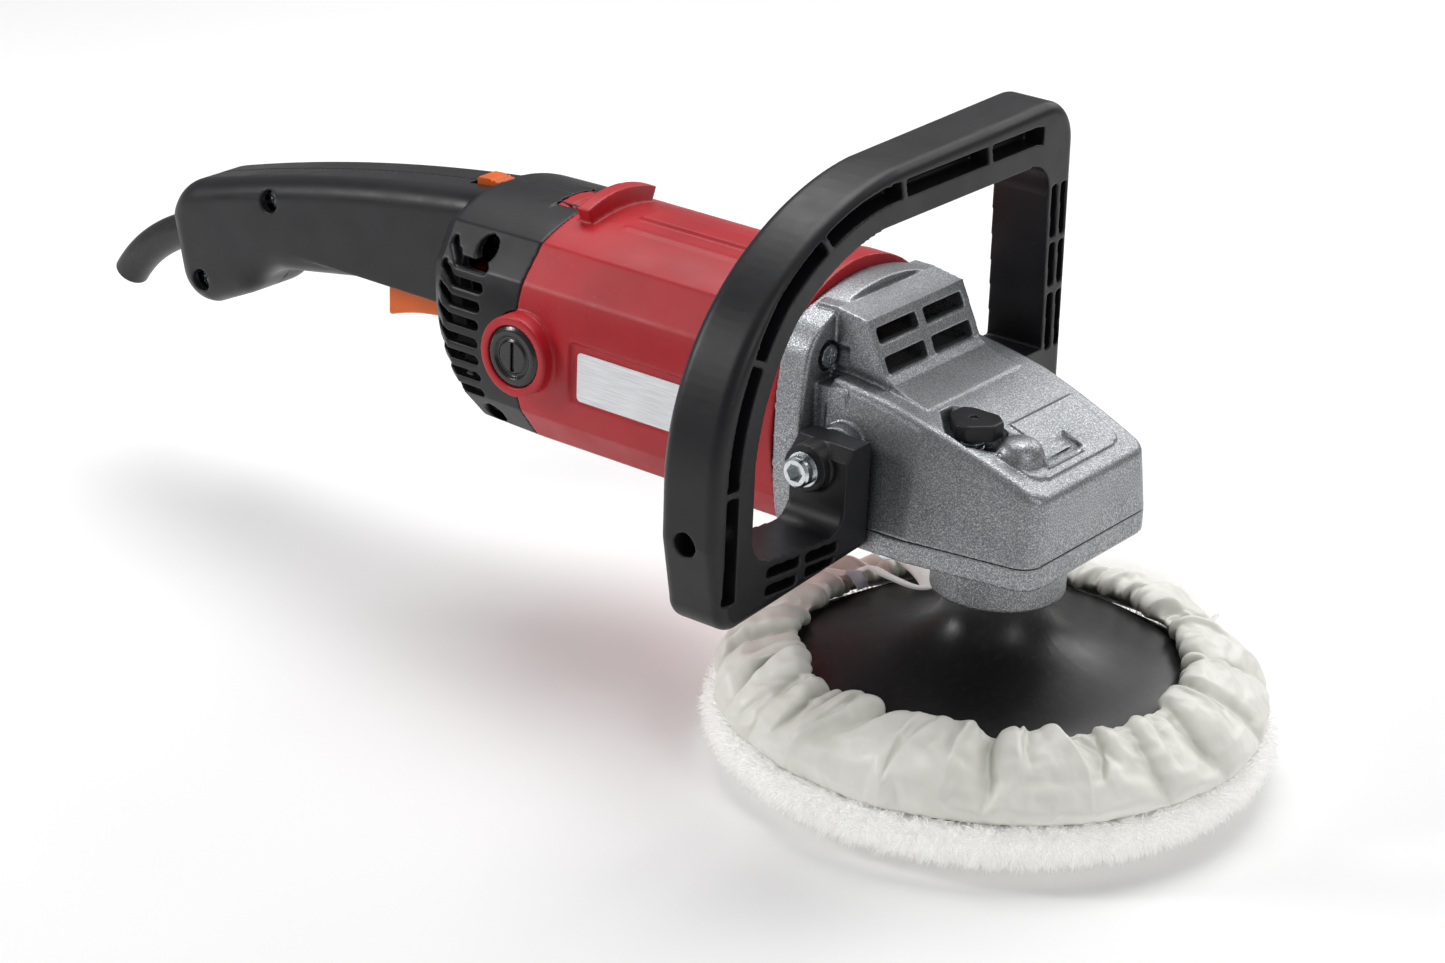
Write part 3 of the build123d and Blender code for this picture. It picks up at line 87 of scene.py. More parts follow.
# ---- materials: a small wrapper round a node tree ----
class Paint:
    """One procedural material, with helpers that add and join nodes."""

    def __init__(self, name, roughness=0.5, metallic=0.0, specular=0.5):
        self.material = bpy.data.materials.new(name)
        self.material.use_nodes = True
        self.tree = self.material.node_tree
        self.surface = self.tree.nodes["Principled BSDF"]
        self.surface.inputs["Roughness"].default_value = roughness
        self.surface.inputs["Metallic"].default_value = metallic
        self.surface.inputs["Specular IOR Level"].default_value = specular
        self.place = self.add("ShaderNodeTexCoord").outputs["Object"]

    def add(self, kind, **settings):
        node = self.tree.nodes.new(kind)
        for key, value in settings.items():
            setattr(node, key, value)
        return node

    def join(self, source, target):
        self.tree.links.new(source, target)

    def feed(self, node, **inputs):
        for key, value in inputs.items():
            socket = node.inputs[key.replace("_", " ")]
            if hasattr(value, "links"):
                self.join(value, socket)
            else:
                socket.default_value = value

    def stretched(self, x, y, z):
        """Object coordinates scaled apart along the axes."""
        node = self.add("ShaderNodeMapping")
        self.join(self.place, node.inputs["Vector"])
        node.inputs["Scale"].default_value = (x, y, z)
        return node.outputs["Vector"]

    def noise(self, scale, detail=2.0, roughness=0.5, vector=None):
        node = self.add("ShaderNodeTexNoise")
        self.feed(node, Vector=vector or self.place, Scale=scale, Detail=detail, Roughness=roughness)
        return node.outputs["Fac"]

    def waves(self, scale, direction="X", distortion=0.0, vector=None):
        node = self.add("ShaderNodeTexWave", bands_direction=direction)
        self.feed(node, Vector=vector or self.place, Scale=scale, Distortion=distortion, Detail=1.0)
        return node.outputs["Fac"]

    def ramp(self, value, *stops):
        """Colour ramp; each stop is (position, colour)."""
        node = self.add("ShaderNodeValToRGB")
        self.join(value, node.inputs["Fac"])
        points = node.color_ramp.elements
        while len(points) < len(stops):
            points.new(0.5)
        for point, (position, colour) in zip(points, stops):
            point.position = position
            point.color = (*colour, 1.0) if len(colour) == 3 else (colour[0],) * 3 + (1.0,)
        return node.outputs["Color"]

    def blend(self, share, a, b, mode="MIX"):
        node = self.add("ShaderNodeMix", data_type="RGBA", blend_type=mode)
        for value, index in ((share, 0), (a, 6), (b, 7)):
            socket = node.inputs[index]
            if hasattr(value, "links"):
                self.join(value, socket)
            else:
                socket.default_value = value if index == 0 else (*value, 1.0)
        return node.outputs[2]

    def math(self, operation, a, b=0.0):
        node = self.add("ShaderNodeMath", operation=operation)
        for value, socket in ((a, node.inputs[0]), (b, node.inputs[1])):
            if hasattr(value, "links"):
                self.join(value, socket)
            else:
                socket.default_value = value
        return node.outputs[0]

    def bump(self, height, depth, strength=1.0, below=None):
        node = self.add("ShaderNodeBump")
        self.feed(node, Height=height, Distance=depth, Strength=strength)
        if below is not None:
            self.join(below, node.inputs["Normal"])
        return node.outputs["Normal"]

    def rounded(self, radius):
        """Normals turned round the edges, for crisp machined shapes."""
        node = self.add("ShaderNodeBevel", samples=4)
        node.inputs["Radius"].default_value = radius
        return node.outputs["Normal"]

    def painted_edge_highlight(self, radius):
        """A mask that is 1 on edges of about that radius, used to paint highlights on edges."""
        turned = self.rounded(radius)
        true = self.add("ShaderNodeNewGeometry").outputs["Normal"]
        dot = self.add("ShaderNodeVectorMath", operation="DOT_PRODUCT")
        self.join(turned, dot.inputs[0])
        self.join(true, dot.inputs[1])
        return self.ramp(dot.outputs["Value"], (0.80, (1.0,)), (0.985, (0.0,)))

    def hollows(self, reach):
        """A mask that is 1 deep in folds and corners, seen over that reach, used to paint shade there."""
        node = self.add("ShaderNodeAmbientOcclusion", samples=8)
        node.inputs["Distance"].default_value = reach
        return self.ramp(node.outputs["AO"], (0.45, (1.0,)), (0.95, (0.0,)))

    def finish(self, colour=None, roughness=None, normal=None):
        for value, key in ((colour, "Base Color"), (roughness, "Roughness"), (normal, "Normal")):
            if value is None:
                continue
            if hasattr(value, "links"):
                self.join(value, self.surface.inputs[key])
            else:
                self.surface.inputs[key].default_value = value if key == "Roughness" else (*value, 1.0)
        return self.material


def cast_aluminium():
    """Shot-blasted die casting: sparkling grey grain, painted highlights on the edges and painted shade in
    the hollows.
    """
    p = Paint("cast_aluminium", metallic=0.85, specular=0.6)
    grain = p.noise(1900, 2.0, 0.6)
    patch = p.noise(38, 3.0, 0.6)
    pits, body, sparks = (0.13, 0.137, 0.147), (0.27, 0.28, 0.295), (0.62, 0.64, 0.66)
    colour = p.ramp(grain, (0.30, pits), (0.50, body), (0.70, sparks))
    colour = p.blend(0.16, colour, p.ramp(patch, (0.35, (0.28, 0.285, 0.30)), (0.65, (0.60, 0.60, 0.61))))
    # painted highlight: edges are blended towards near-white
    edge = p.painted_edge_highlight(0.9 * MM)
    colour = p.blend(p.math("MULTIPLY", edge, 0.55), colour, (0.93, 0.93, 0.93))
    # painted shade: hollows and corners are darkened towards near-black
    colour = p.blend(p.math("MULTIPLY", p.hollows(6 * MM), 0.8), colour, (0.05, 0.055, 0.065))
    rough = p.ramp(grain, (0.3, (0.50,)), (0.7, (0.30,)))
    normal = p.bump(grain, 0.22 * MM, 0.55)
    normal = p.bump(p.noise(220, 2.0), 0.25 * MM, 0.35, normal)
    return p.finish(colour, rough, normal)


def moulded(name, colour, pale, rough, grain_scale=2600, grain_depth=0.05, edge_share=0.35, edge_mm=0.6):
    """Spark-eroded moulded plastic: fine grain, slow tone changes and painted highlights on the edges."""
    p = Paint(name, specular=0.38)
    patch = p.noise(26, 3.0, 0.55)
    fine = p.noise(grain_scale, 2.0, 0.6)
    dark = tuple(c * 0.82 for c in colour)
    base = p.ramp(patch, (0.35, dark), (0.62, colour))
    # painted highlight: edges are blended towards the pale tint
    base = p.blend(p.math("MULTIPLY", p.painted_edge_highlight(edge_mm * MM), edge_share), base, pale)
    speck = p.ramp(p.noise(700, 1.0), (0.70, (0.0,)), (0.78, (1.0,)))
    base = p.blend(p.math("MULTIPLY", speck, 0.10), base, pale)
    roughness = p.ramp(p.noise(60, 4.0, 0.6), (0.35, (rough - 0.05,)), (0.65, (rough + 0.06,)))
    return p.finish(base, roughness, p.bump(fine, grain_depth * MM, 0.5))


def gloss_plastic(name, colour):
    p = Paint(name, specular=0.55)
    scratch = p.noise(900, 2.0, 0.6, p.stretched(1.0, 0.15, 1.0))
    base = p.ramp(p.noise(80, 2.0), (0.4, tuple(c * 0.8 for c in colour)), (0.6, colour))
    roughness = p.ramp(scratch, (0.4, (0.18,)), (0.7, (0.32,)))
    return p.finish(base, roughness, p.bump(scratch, 0.02 * MM, 0.3, p.rounded(0.4 * MM)))


def rubber(name, colour, rough):
    """Smooth pressed rubber with faint flow marks and dust."""
    p = Paint(name, specular=0.45)
    dust = p.ramp(p.noise(420, 3.0, 0.7), (0.52, (0.0,)), (0.80, (1.0,)))
    base = p.ramp(p.noise(30, 4.0, 0.6), (0.35, tuple(c * 0.8 for c in colour)), (0.65, colour))
    base = p.blend(p.math("MULTIPLY", dust, 0.12), base, (0.16, 0.16, 0.17))
    roughness = p.ramp(p.noise(45, 4.0, 0.65), (0.3, (rough - 0.05,)), (0.7, (rough + 0.08,)))
    normal = p.bump(p.noise(1800, 2.0), 0.03 * MM, 0.5)
    return p.finish(base, roughness, p.bump(p.noise(40, 2.0), 0.3 * MM, 0.2, normal))


def metal(name, colour, rough, stretch=(1, 1, 1), scale=900, edge=True):
    """Bare or plated metal with tool marks along one axis."""
    p = Paint(name, metallic=1.0)
    mark = p.noise(scale, 3.0, 0.6, p.stretched(*stretch))
    base = p.ramp(mark, (0.3, tuple(c * 0.78 for c in colour)), (0.7, colour))
    roughness = p.ramp(p.noise(150, 3.0), (0.3, (rough - 0.06,)), (0.7, (rough + 0.10,)))
    below = p.rounded(0.25 * MM) if edge else None
    return p.finish(base, roughness, p.bump(mark, 0.03 * MM, 0.4, below))


def satin(name, shade, light):
    """Satin: fine float weave, pearly sheen, soft patchy tone and painted shade in its folds."""
    p = Paint(name, specular=0.45)
    weft = p.waves(620, "Z", 1.5)
    warp = p.waves(760, "X", 1.5)
    tone = p.ramp(p.noise(34, 4.0, 0.6), (0.30, shade), (0.62, light))
    thread = p.math("MULTIPLY", weft, warp)
    tone = p.blend(p.math("MULTIPLY", thread, 0.08), tone, (0.60, 0.585, 0.52))
    # painted shade: deep folds are darkened towards a darker, greyer copy of the shade tone
    tone = p.blend(p.hollows(7 * MM), tone, tuple(c * k for c, k in zip(shade, (0.52, 0.55, 0.50))))
    roughness = p.ramp(p.noise(55, 3.0), (0.3, (0.33,)), (0.7, (0.43,)))
    p.surface.inputs["Sheen Weight"].default_value = 0.25
    p.surface.inputs["Sheen Roughness"].default_value = 0.35
    normal = p.bump(thread, 0.05 * MM, 0.35)
    return p.finish(tone, roughness, p.bump(p.noise(190, 2.0), 0.35 * MM, 0.25, normal))


def wool(name, light):
    """Cut wool pile, with strand-to-strand colour changes and a faint painted glow."""
    p = Paint(name, specular=0.2, roughness=0.85)
    # painted light: the wool glows faintly white so its shaded sides stay bright
    p.surface.inputs["Emission Color"].default_value = (1.0, 0.99, 0.97, 1.0)
    p.surface.inputs["Emission Strength"].default_value = 0.16
    fleck = p.noise(900, 2.0, 0.6, p.stretched(1.0, 1.0, 0.35))
    tone = p.ramp(fleck, (0.25, tuple(c * 0.90 for c in light)), (0.55, light), (0.8, (0.98, 0.975, 0.965)))
    patch = p.ramp(p.noise(60, 3.0), (0.35, (0.82, 0.81, 0.77)), (0.65, (0.97, 0.97, 0.96)))
    tone = p.blend(0.15, tone, patch)
    p.surface.inputs["Sheen Weight"].default_value = 0.5
    p.surface.inputs["Subsurface Weight"].default_value = 0.25
    p.surface.inputs["Subsurface Radius"].default_value = (3 * MM, 2.8 * MM, 2.6 * MM)
    return p.finish(tone, None, p.bump(fleck, 0.3 * MM, 0.5))


def foil_label():
    """Blank brushed foil."""
    p = Paint("label_foil", metallic=0.55, specular=0.5)
    brushed = p.noise(1500, 2.0, 0.6, p.stretched(0.05, 1.0, 1.0))
    base = p.ramp(brushed, (0.3, (0.60, 0.61, 0.63)), (0.7, (0.80, 0.81, 0.82)))
    roughness = p.ramp(brushed, (0.3, (0.30,)), (0.7, (0.42,)))
    return p.finish(base, roughness, p.bump(brushed, 0.02 * MM, 0.3, p.rounded(0.2 * MM)))


paints = {
    "cast_aluminium": cast_aluminium(),
    "red_plastic": moulded("red_plastic", (0.47, 0.014, 0.022), (0.78, 0.22, 0.24), 0.40),
    "black_plastic": moulded("black_plastic", (0.0085, 0.0088, 0.0110), (0.085, 0.087, 0.095), 0.40),
    "orange_plastic": moulded("orange_plastic", (0.80, 0.135, 0.006), (0.95, 0.42, 0.16), 0.36),
    "black_gloss_plastic": gloss_plastic("black_gloss_plastic", (0.010, 0.010, 0.011)),
    "rubber": rubber("rubber", (0.0115, 0.0105, 0.0115), 0.36),
    "zinc_steel": metal("zinc_steel", (0.72, 0.76, 0.79), 0.20),
    "ground_steel": metal("ground_steel", (0.52, 0.53, 0.55), 0.28, (1, 1, 6)),
    "gear_steel": metal("gear_steel", (0.33, 0.33, 0.34), 0.34),
    "copper": metal("copper", (0.62, 0.26, 0.12), 0.30, (0.2, 1, 1)),
    "brass": metal("brass", (0.66, 0.48, 0.19), 0.28),
    "lamination_steel": metal("lamination_steel", (0.30, 0.32, 0.35), 0.42, (8, 0.2, 0.2)),
    "carbon": moulded("carbon", (0.02, 0.02, 0.02), (0.10, 0.10, 0.10), 0.6),
    "label_foil": foil_label(),
    "bonnet_satin": satin("bonnet_satin", (0.80, 0.79, 0.725), (0.93, 0.92, 0.865)),
    "bonnet_wool": wool("bonnet_wool", (0.95, 0.945, 0.93)),
    "strap_tape": satin("strap_tape", (0.42, 0.44, 0.52), (0.62, 0.64, 0.70)),
}


def dress(piece, slot):
    """Gives a piece its slot's paint."""
    piece.data.materials.clear()
    piece.data.materials.append(paints[slot])
    return piece


# every CAD part first gets the paint of its own slot
slot_of_node = {part["node"]: part["material_slot"] for part in frame["record"]["subparts"]}
for node_name, node_object in nodes.items():
    node_object.data.materials.clear()
    node_object.data.materials.append(paints[slot_of_node[node_name]])


# ---- mesh helpers ----
def new_piece(name, points, faces, smooth=True):
    """A mesh object from points in metres."""
    mesh = bpy.data.meshes.new(name)
    mesh.from_pydata([tuple(map(float, p)) for p in points], [], [tuple(map(int, f)) for f in faces])
    mesh.polygons.foreach_set("use_smooth", [smooth] * len(mesh.polygons))
    mesh.update()
    piece = bpy.data.objects.new(name, mesh)
    bpy.context.scene.collection.objects.link(piece)
    return piece


def applied(piece):
    """Replaces a piece's mesh by its modified mesh."""
    bpy.context.view_layer.update()
    graph = bpy.context.evaluated_depsgraph_get()
    mesh = bpy.data.meshes.new_from_object(piece.evaluated_get(graph), depsgraph=graph)
    piece.modifiers.clear()
    piece.data = mesh
    return piece


def block(corners, low, high):
    """Points and faces of an upright prism from its plan corners, between two heights."""
    n = len(corners)
    points = [(x, y, low) for x, y in corners] + [(x, y, high) for x, y in corners]
    faces = [tuple(range(n))[::-1], tuple(range(n, 2 * n))]
    faces += [(i, (i + 1) % n, n + (i + 1) % n, n + i) for i in range(n)]
    return points, faces


def recast(node, voxel, relax, keep, extras=(), cuts=()):
    """Stands in for a moulded or cast CAD part with softened edges.

    Extras are fused on before the edges are softened, cuts are taken out after it."""
    voxel = voxel
    piece = bpy.data.objects.new(node + "_cast", nodes[node].data.copy())
    bpy.context.scene.collection.objects.link(piece)
    shape = bmesh.new()
    shape.from_mesh(piece.data)
    bmesh.ops.remove_doubles(shape, verts=shape.verts, dist=1e-6)
    for points, faces in extras:
        verts = [shape.verts.new(Vector(p) * MM) for p in points]
        for face in faces:
            shape.faces.new([verts[i] for i in face])
    bmesh.ops.recalc_face_normals(shape, faces=shape.faces)
    shape.to_mesh(piece.data)
    shape.free()
    solid = piece.modifiers.new("solid", "REMESH")
    solid.mode = "VOXEL"
    solid.voxel_size = voxel * MM
    cutters = []
    for points, faces in cuts:
        cutter = new_piece("cutter", [Vector(p) * MM for p in points], faces, False)
        cutters.append(cutter)
        taken = piece.modifiers.new("cut", "BOOLEAN")
        taken.operation = "DIFFERENCE"
        taken.solver = "EXACT"
        taken.object = cutter
    soft = piece.modifiers.new("soft", "SMOOTH")
    soft.factor = 0.5
    soft.iterations = relax
    if keep < 1:
        thin = piece.modifiers.new("thin", "DECIMATE")
        thin.ratio = keep
    applied(piece)
    for cutter in cutters:
        bpy.data.objects.remove(cutter)
    piece.data.polygons.foreach_set("use_smooth", [True] * len(piece.data.polygons))
    dress(piece, slot_of_node[node])
    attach(piece, body_of_node[node])
    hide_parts(node)
    return piece


# ---- moulded and cast bodies ----
def nose_top(x):
    """Height of the gear housing's sloping top over the spindle line."""
    stations = (-46, -28, -9.3, 3, 14.9, 27, 40)
    heights = (134.4, 132.0, 128.2, 124.7, 120.6, 115.8, 110.2)
    return float(np.interp(x, stations, heights))


def bar(profile, y0, y1):
    """Prism across the machine from a side profile of (x, z) points."""
    n = len(profile)
    points = [(x, y0, z) for x, z in profile] + [(x, y1, z) for x, z in profile]
    faces = [tuple(range(n)), tuple(range(n, 2 * n))[::-1]]
    faces += [(i, n + i, n + (i + 1) % n, (i + 1) % n) for i in range(n)]
    return points, faces


def raised_panel():
    """Low plate on the front of the nose that follows its slope, as thin bars."""
    bars = []
    step = 0.9
    rise, root = 0.95, 2
    front, corner = 28.8, 5.0
    for i in range(26):
        x0 = front - (i + 1) * step
        x1 = x0 + step + 0.02
        into = max(0.0, x1 - (front - corner))
        half = 25.0 + (front - x1) * 0.16 - (corner - math.sqrt(max(0.0, corner ** 2 - into ** 2)))
        low = -half if x0 > 13 else -8.0
        z0, z1 = nose_top(x0), nose_top(x1)
        profile = [(x0, z0 - root), (x1, z1 - root), (x1, z1 + rise), (x0, z0 + rise)]
        bars.append(bar(profile, low, half))
    return bars


vent_half = 27.4
vent_slope = [(-14.5, 129.8), (-20, 131.2), (-25, 132.6), (-28.6, 134.0), (-31.2, 135.9)]
vent_root = bar([(-40, 126), (-14.5, 126)] + vent_slope, -vent_half, vent_half)
pocket_plan = [(-12.0, -17.0), (-12.0, -24.0), (-3.5, -33.0), (5.0, -33.0), (11.5, -26.0), (11.5, -18.0),
               (7.0, -11.5), (-7.0, -11.5)]
pocket = block(pocket_plan, 118.2, 136.0)
hook_marks = []
for back, ahead, low, high in ((22.6, 26.4, -17.0, 7.5), (16.4, 22.8, 2.5, 7.5)):
    profile = [(back, nose_top(back) - 0.6), (ahead, nose_top(ahead) - 0.6), (ahead, 130), (back, 130)]
    hook_marks.append(bar(profile, low, high))
recast("gear_housing", 0.50, 2, 0.34, [vent_root] + raised_panel(), [pocket] + hook_marks)
recast("gear_cover", 0.50, 3, 0.35)
recast("motor_housing", 0.60, 3, 0.30)
recast("rear_handle_right", 0.55, 3, 0.35)
recast("rear_handle_left", 0.55, 3, 0.35)
recast("side_handle", 0.50, 3, 0.35)
recast("trigger", 0.40, 3, 0.5)
recast("lock_on_slide", 0.22, 3, 0.6)
recast("lock_button", 0.28, 3, 0.6)
recast("brush_caps", 0.30, 2, 0.5)


# ---- bonnet: gathered satin skirt ----
def along_profile(knots, share):
    """Point at a share of the length of a smooth curve through (radius, height) knots."""
    knots = np.array(knots, float)
    steps = np.r_[0, np.cumsum(np.hypot(*np.diff(knots, axis=0).T))]
    t = np.linspace(0, 1, 400) * steps[-1]
    radius = np.interp(t, steps, knots[:, 0])
    height = np.interp(t, steps, knots[:, 1])
    width = 31
    pad = width // 2
    weights = np.hanning(width + 2)[1:-1]
    weights /= weights.sum()
    smooth = []
    for values in (radius, height):
        extended = np.r_[2 * values[0] - values[pad:0:-1], values, 2 * values[-1] - values[-2:-pad - 2:-1]]
        smooth.append(np.convolve(extended, weights, "valid"))
    spot = np.asarray(share) * 399
    return np.interp(spot, np.arange(400), smooth[0]), np.interp(spot, np.arange(400), smooth[1])


def skirt_creases(random_source, count, reach_low, reach_high, deep, ridge_share):
    """Radial creases and ridges: angle, half width, depth, reach, slant and lopsidedness of each."""
    step = 2 * math.pi / count
    creases = []
    for i in range(count):
        angle = (i + random_source.uniform(-0.45, 0.45)) * step
        reach = random_source.uniform(reach_low, reach_high)
        depth = deep * random_source.uniform(0.5, 1.3)
        if random_source.random() < ridge_share:
            depth = -0.75 * depth
        slant = random_source.gauss(0.0, 0.12) + 0.10 * math.sin(2 * angle + 1.0)
        lopsided = random_source.choice((-1, 1)) * random_source.uniform(0.3, 0.65)
        creases.append((angle, random_source.uniform(1.0, 1.8), depth, reach, slant, lopsided))
    return creases


def crease_field(creases, share, radius, angles, at_hem):
    """Height of all creases on the skirt's grid: steep on one side of each line, drawn out on the other."""
    field = np.zeros((len(share), len(angles)))
    for angle, width, depth, reach, slant, lopsided in creases:
        for row, t in enumerate(share):
            fade = max(0.0, 1 - t / reach)
            fade = (1 - (1 - fade) ** 2.2) * min(1.0, at_hem + t * 5)
            if fade <= 0:
                continue
            centre = angle + slant * t + 0.012 * math.sin(9 * t + angle * 5)
            apart = ((angles - centre + math.pi) % (2 * math.pi) - math.pi) * radius[row]
            spread = (width + 3.2 * t) * (1 + lopsided * np.sign(apart))
            field[row] -= depth * fade * np.exp(-(np.abs(apart) / spread) ** 1.05)
    return field


def make_skirt():
    """The satin skirt as a closed puffed tube that hugs the pad, gathered at its drawn hem."""
    columns = 560
    outer_rows = 34
    under_rows = 6
    outer = [(67.6, 35.9), (65.4, 37.2), (65.0, 39.2), (66.8, 41.2), (71.0, 41.9), (77.0, 40.6), (84.0, 37.2),
             (90.5, 32.0), (93.9, 26.5), (94.0, 22.5), (92.6, 20.6)]
    share = np.linspace(0, 1, outer_rows)
    radius, height = along_profile(outer, share)
    tangent_r, tangent_z = np.gradient(radius), np.gradient(height)
    length = np.hypot(tangent_r, tangent_z)
    normal_r, normal_z = -tangent_z / length, tangent_r / length
    angles = np.arange(columns) * 2 * math.pi / columns
    source = random.Random(11)
    offset = crease_field(skirt_creases(source, 64, 0.55, 1.15, 7.5, 0.42), share, radius, angles, 0.15)
    offset += crease_field(skirt_creases(source, 120, 0.12, 0.40, 2.0, 0.3), share, radius, angles, 0.9)
    offset -= offset.mean(axis=1, keepdims=True)
    tallest = (1.3 + 3.0 * np.clip(share / 0.30, 0, 1))[:, None]
    offset = tallest * np.tanh(offset / tallest)
    slow = np.zeros((outer_rows, columns))
    for row, t in enumerate(share):
        for column, a in enumerate(angles):
            spot = Vector((2.6 * math.cos(a), 2.6 * math.sin(a), 2.2 * t))
            slow[row, column] = noise.noise(spot * 1.6) * 1.2 + noise.noise(spot * 4.5) * 0.7
    swell = np.sin(np.pi * np.clip(share, 0, 1))[:, None]
    offset += slow * swell
    hem_hold = np.clip(share / 0.06, 0.6, 1)[:, None] * np.clip((1 - share) / 0.12, 0.0, 1)[:, None]
    offset *= hem_hold
    points = []
    for row in range(outer_rows):
        r = radius[row] + normal_r[row] * offset[row]
        z = height[row] + normal_z[row] * offset[row]
        points += list(zip(r * np.cos(angles), r * np.sin(angles), z))
    for k in range(under_rows):
        t = (k + 1) / (under_rows + 1)
        r = 91.6 + (68.6 - 91.6) * t
        z = 20.3 + (34.4 - 20.3) * t + 0.35
        points += list(zip(r * np.cos(angles), r * np.sin(angles), np.full(columns, z)))
    rows = outer_rows + under_rows
    faces = []
    for row in range(rows):
        for column in range(columns):
            a = row * columns + column
            b = row * columns + (column + 1) % columns
            c = ((row + 1) % rows) * columns + (column + 1) % columns
            d = ((row + 1) % rows) * columns + column
            faces.append((a, b, c, d))
    piece = new_piece("bonnet_skirt", np.array(points) * MM, faces)
    return piece, columns, outer_rows, rows


def settle(piece, columns, outer_rows, rows):
    """Lets the skirt's cloth buckle between its drawn hem and its seam, then limits how far it has gone."""
    rest = np.array([v.co for v in piece.data.vertices])
    held = piece.vertex_groups.new(name="held")
    for row in range(rows):
        if row >= outer_rows - 1:
            weight = 1.0
        elif row < 4:
            weight = 1.0 - 0.12 * row
        else:
            weight = 0.0
        if weight > 0:
            held.add(list(range(row * columns, (row + 1) * columns)), weight, "REPLACE")
    cloth = piece.modifiers.new("cloth", "CLOTH")
    cloth.settings.quality = 6
    cloth.settings.mass = 0.15
    cloth.settings.tension_stiffness = 20
    cloth.settings.compression_stiffness = 12
    cloth.settings.shear_stiffness = 8
    cloth.settings.bending_stiffness = 0.02
    cloth.settings.air_damping = 2
    cloth.settings.vertex_group_mass = "held"
    cloth.settings.pin_stiffness = 1.0
    cloth.settings.shrink_min = -0.03
    cloth.settings.effector_weights.gravity = 0
    cloth.settings.use_pressure = True
    cloth.settings.uniform_pressure_force = 0.5
    cloth.collision_settings.use_collision = False
    last_moment = 16
    cloth.point_cache.frame_end = last_moment
    scene = bpy.context.scene
    scene.frame_start, scene.frame_end = 1, last_moment
    for moment in range(1, last_moment + 1):
        scene.frame_set(moment)
    applied(piece)
    scene.frame_set(1)
    moved = np.array([v.co for v in piece.data.vertices]) - rest
    distance = np.linalg.norm(moved, axis=1, keepdims=True)
    limit = 1.0 * MM
    moved *= np.minimum(1.0, limit / np.maximum(distance, 1e-9))
    final = rest + moved
    radial = np.hypot(final[:, 0], final[:, 1])
    cone_start, cone_top, cone_fall = 64.5 * MM, 36.2 * MM, 15.6 / 25.5
    pad_top = np.where(radial < cone_start, cone_top, cone_top - (radial - cone_start) * cone_fall)
    outer = np.arange(len(final)) < (outer_rows - 1) * columns
    final[outer, 2] = np.maximum(final[outer, 2], pad_top[outer])
    piece.data.vertices.foreach_set("co", final.astype(np.float32).ravel())
    piece.data.update()


skirt, skirt_columns, skirt_outer, skirt_rows = make_skirt()
settle(skirt, skirt_columns, skirt_outer, skirt_rows)
smoothing = skirt.modifiers.new("smoothing", "SUBSURF")
smoothing.levels = 1
smoothing.render_levels = 1
dress(skirt, "bonnet_satin")
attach(skirt, "spindle_set")
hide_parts("bonnet_cover", "bonnet_drawstring")


# ---- bonnet: tape loop at the rear of the hem, fleece tab behind the skirt ----
def ribbon(name, path, half_width, thickness, slot, lean=0.0):
    """Flat tape along a path: half_width across it in plan, thickness upwards."""
    path = [Vector(p) for p in path]
    fine = []
    for i in range(len(path) - 1):
        p0, p1 = path[max(0, i - 1)], path[i]
        p2, p3 = path[i + 1], path[min(len(path) - 1, i + 2)]
        for k in range(10):
            t = k / 10
            fine.append(0.5 * ((2 * p1) + (p2 - p0) * t + (2 * p0 - 5 * p1 + 4 * p2 - p3) * t * t
                               + (3 * p1 - p0 - 3 * p2 + p3) * t ** 3))
    fine.append(path[-1])
    points, faces = [], []
    for i, p in enumerate(fine):
        along = (fine[min(i + 1, len(fine) - 1)] - fine[max(i - 1, 0)]).normalized()
        across = along.cross(Vector((0, 0, 1))).normalized()
        across = (across * math.cos(lean) + Vector((0, 0, 1)) * math.sin(lean)).normalized()
        lift = across.cross(along).normalized()
        for k in range(12):
            angle = 2 * math.pi * k / 12
            puff = abs(math.cos(angle)) ** 0.5 * math.copysign(1, math.cos(angle))
            points.append(p + across * (half_width * puff) + lift * (thickness / 2 * math.sin(angle)))
    for i in range(len(fine) - 1):
        for k in range(12):
            faces.append((i * 12 + k, i * 12 + (k + 1) % 12, (i + 1) * 12 + (k + 1) % 12, (i + 1) * 12 + k))
    faces.append(tuple(range(12))[::-1])
    faces.append(tuple(range(len(fine) * 12 - 12, len(fine) * 12)))
    piece = new_piece(name, [p * MM for p in points], faces)
    dress(piece, slot)
    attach(piece, "spindle_set")
    return piece


loop_path = [(-66.5, 12.0, 41.6), (-62.0, 15.0, 44.0), (-54.0, 14.5, 43.4), (-45.0, 17.0, 41.4),
             (-42.0, 21.5, 40.8),
             (-46.0, 26.0, 41.2), (-55.0, 30.0, 43.0), (-62.5, 32.0, 43.4), (-67.0, 32.0, 41.0)]
ribbon("strap_loop", loop_path, 3.2, 1.4, "bonnet_wool", 0.3)
band_path = [(-67.5, 12.6, 41.0), (-66.4, 10.8, 42.8), (-64.2, 8.6, 43.4), (-60.6, 6.8, 42.2),
             (-58.8, 6.4, 40.0)]
# the band is satin like the skirt, in a darker and greyer tone
band = ribbon("strap_band", band_path, 2.8, 0.9, "bonnet_satin")
band.data.materials[0] = paints["strap_tape"]
tab_path = [(-34.0, 82.0, 30.0), (-16.0, 88.5, 35.0), (4.0, 91.5, 36.5), (22.0, 90.5, 33.0),
            (34.0, 87.0, 27.0)]
ribbon("fleece_tab", tab_path, 6.0, 5.0, "bonnet_wool", -0.5)


# ---- bonnet: wool pile ----
pile = [(0, 2.2), (60, 2.0), (76, 2.6), (86, 5.2), (92.5, 9.0), (96, 13.0), (95.4, 16.4), (92.8, 18.8),
        (90.6, 19.8)]


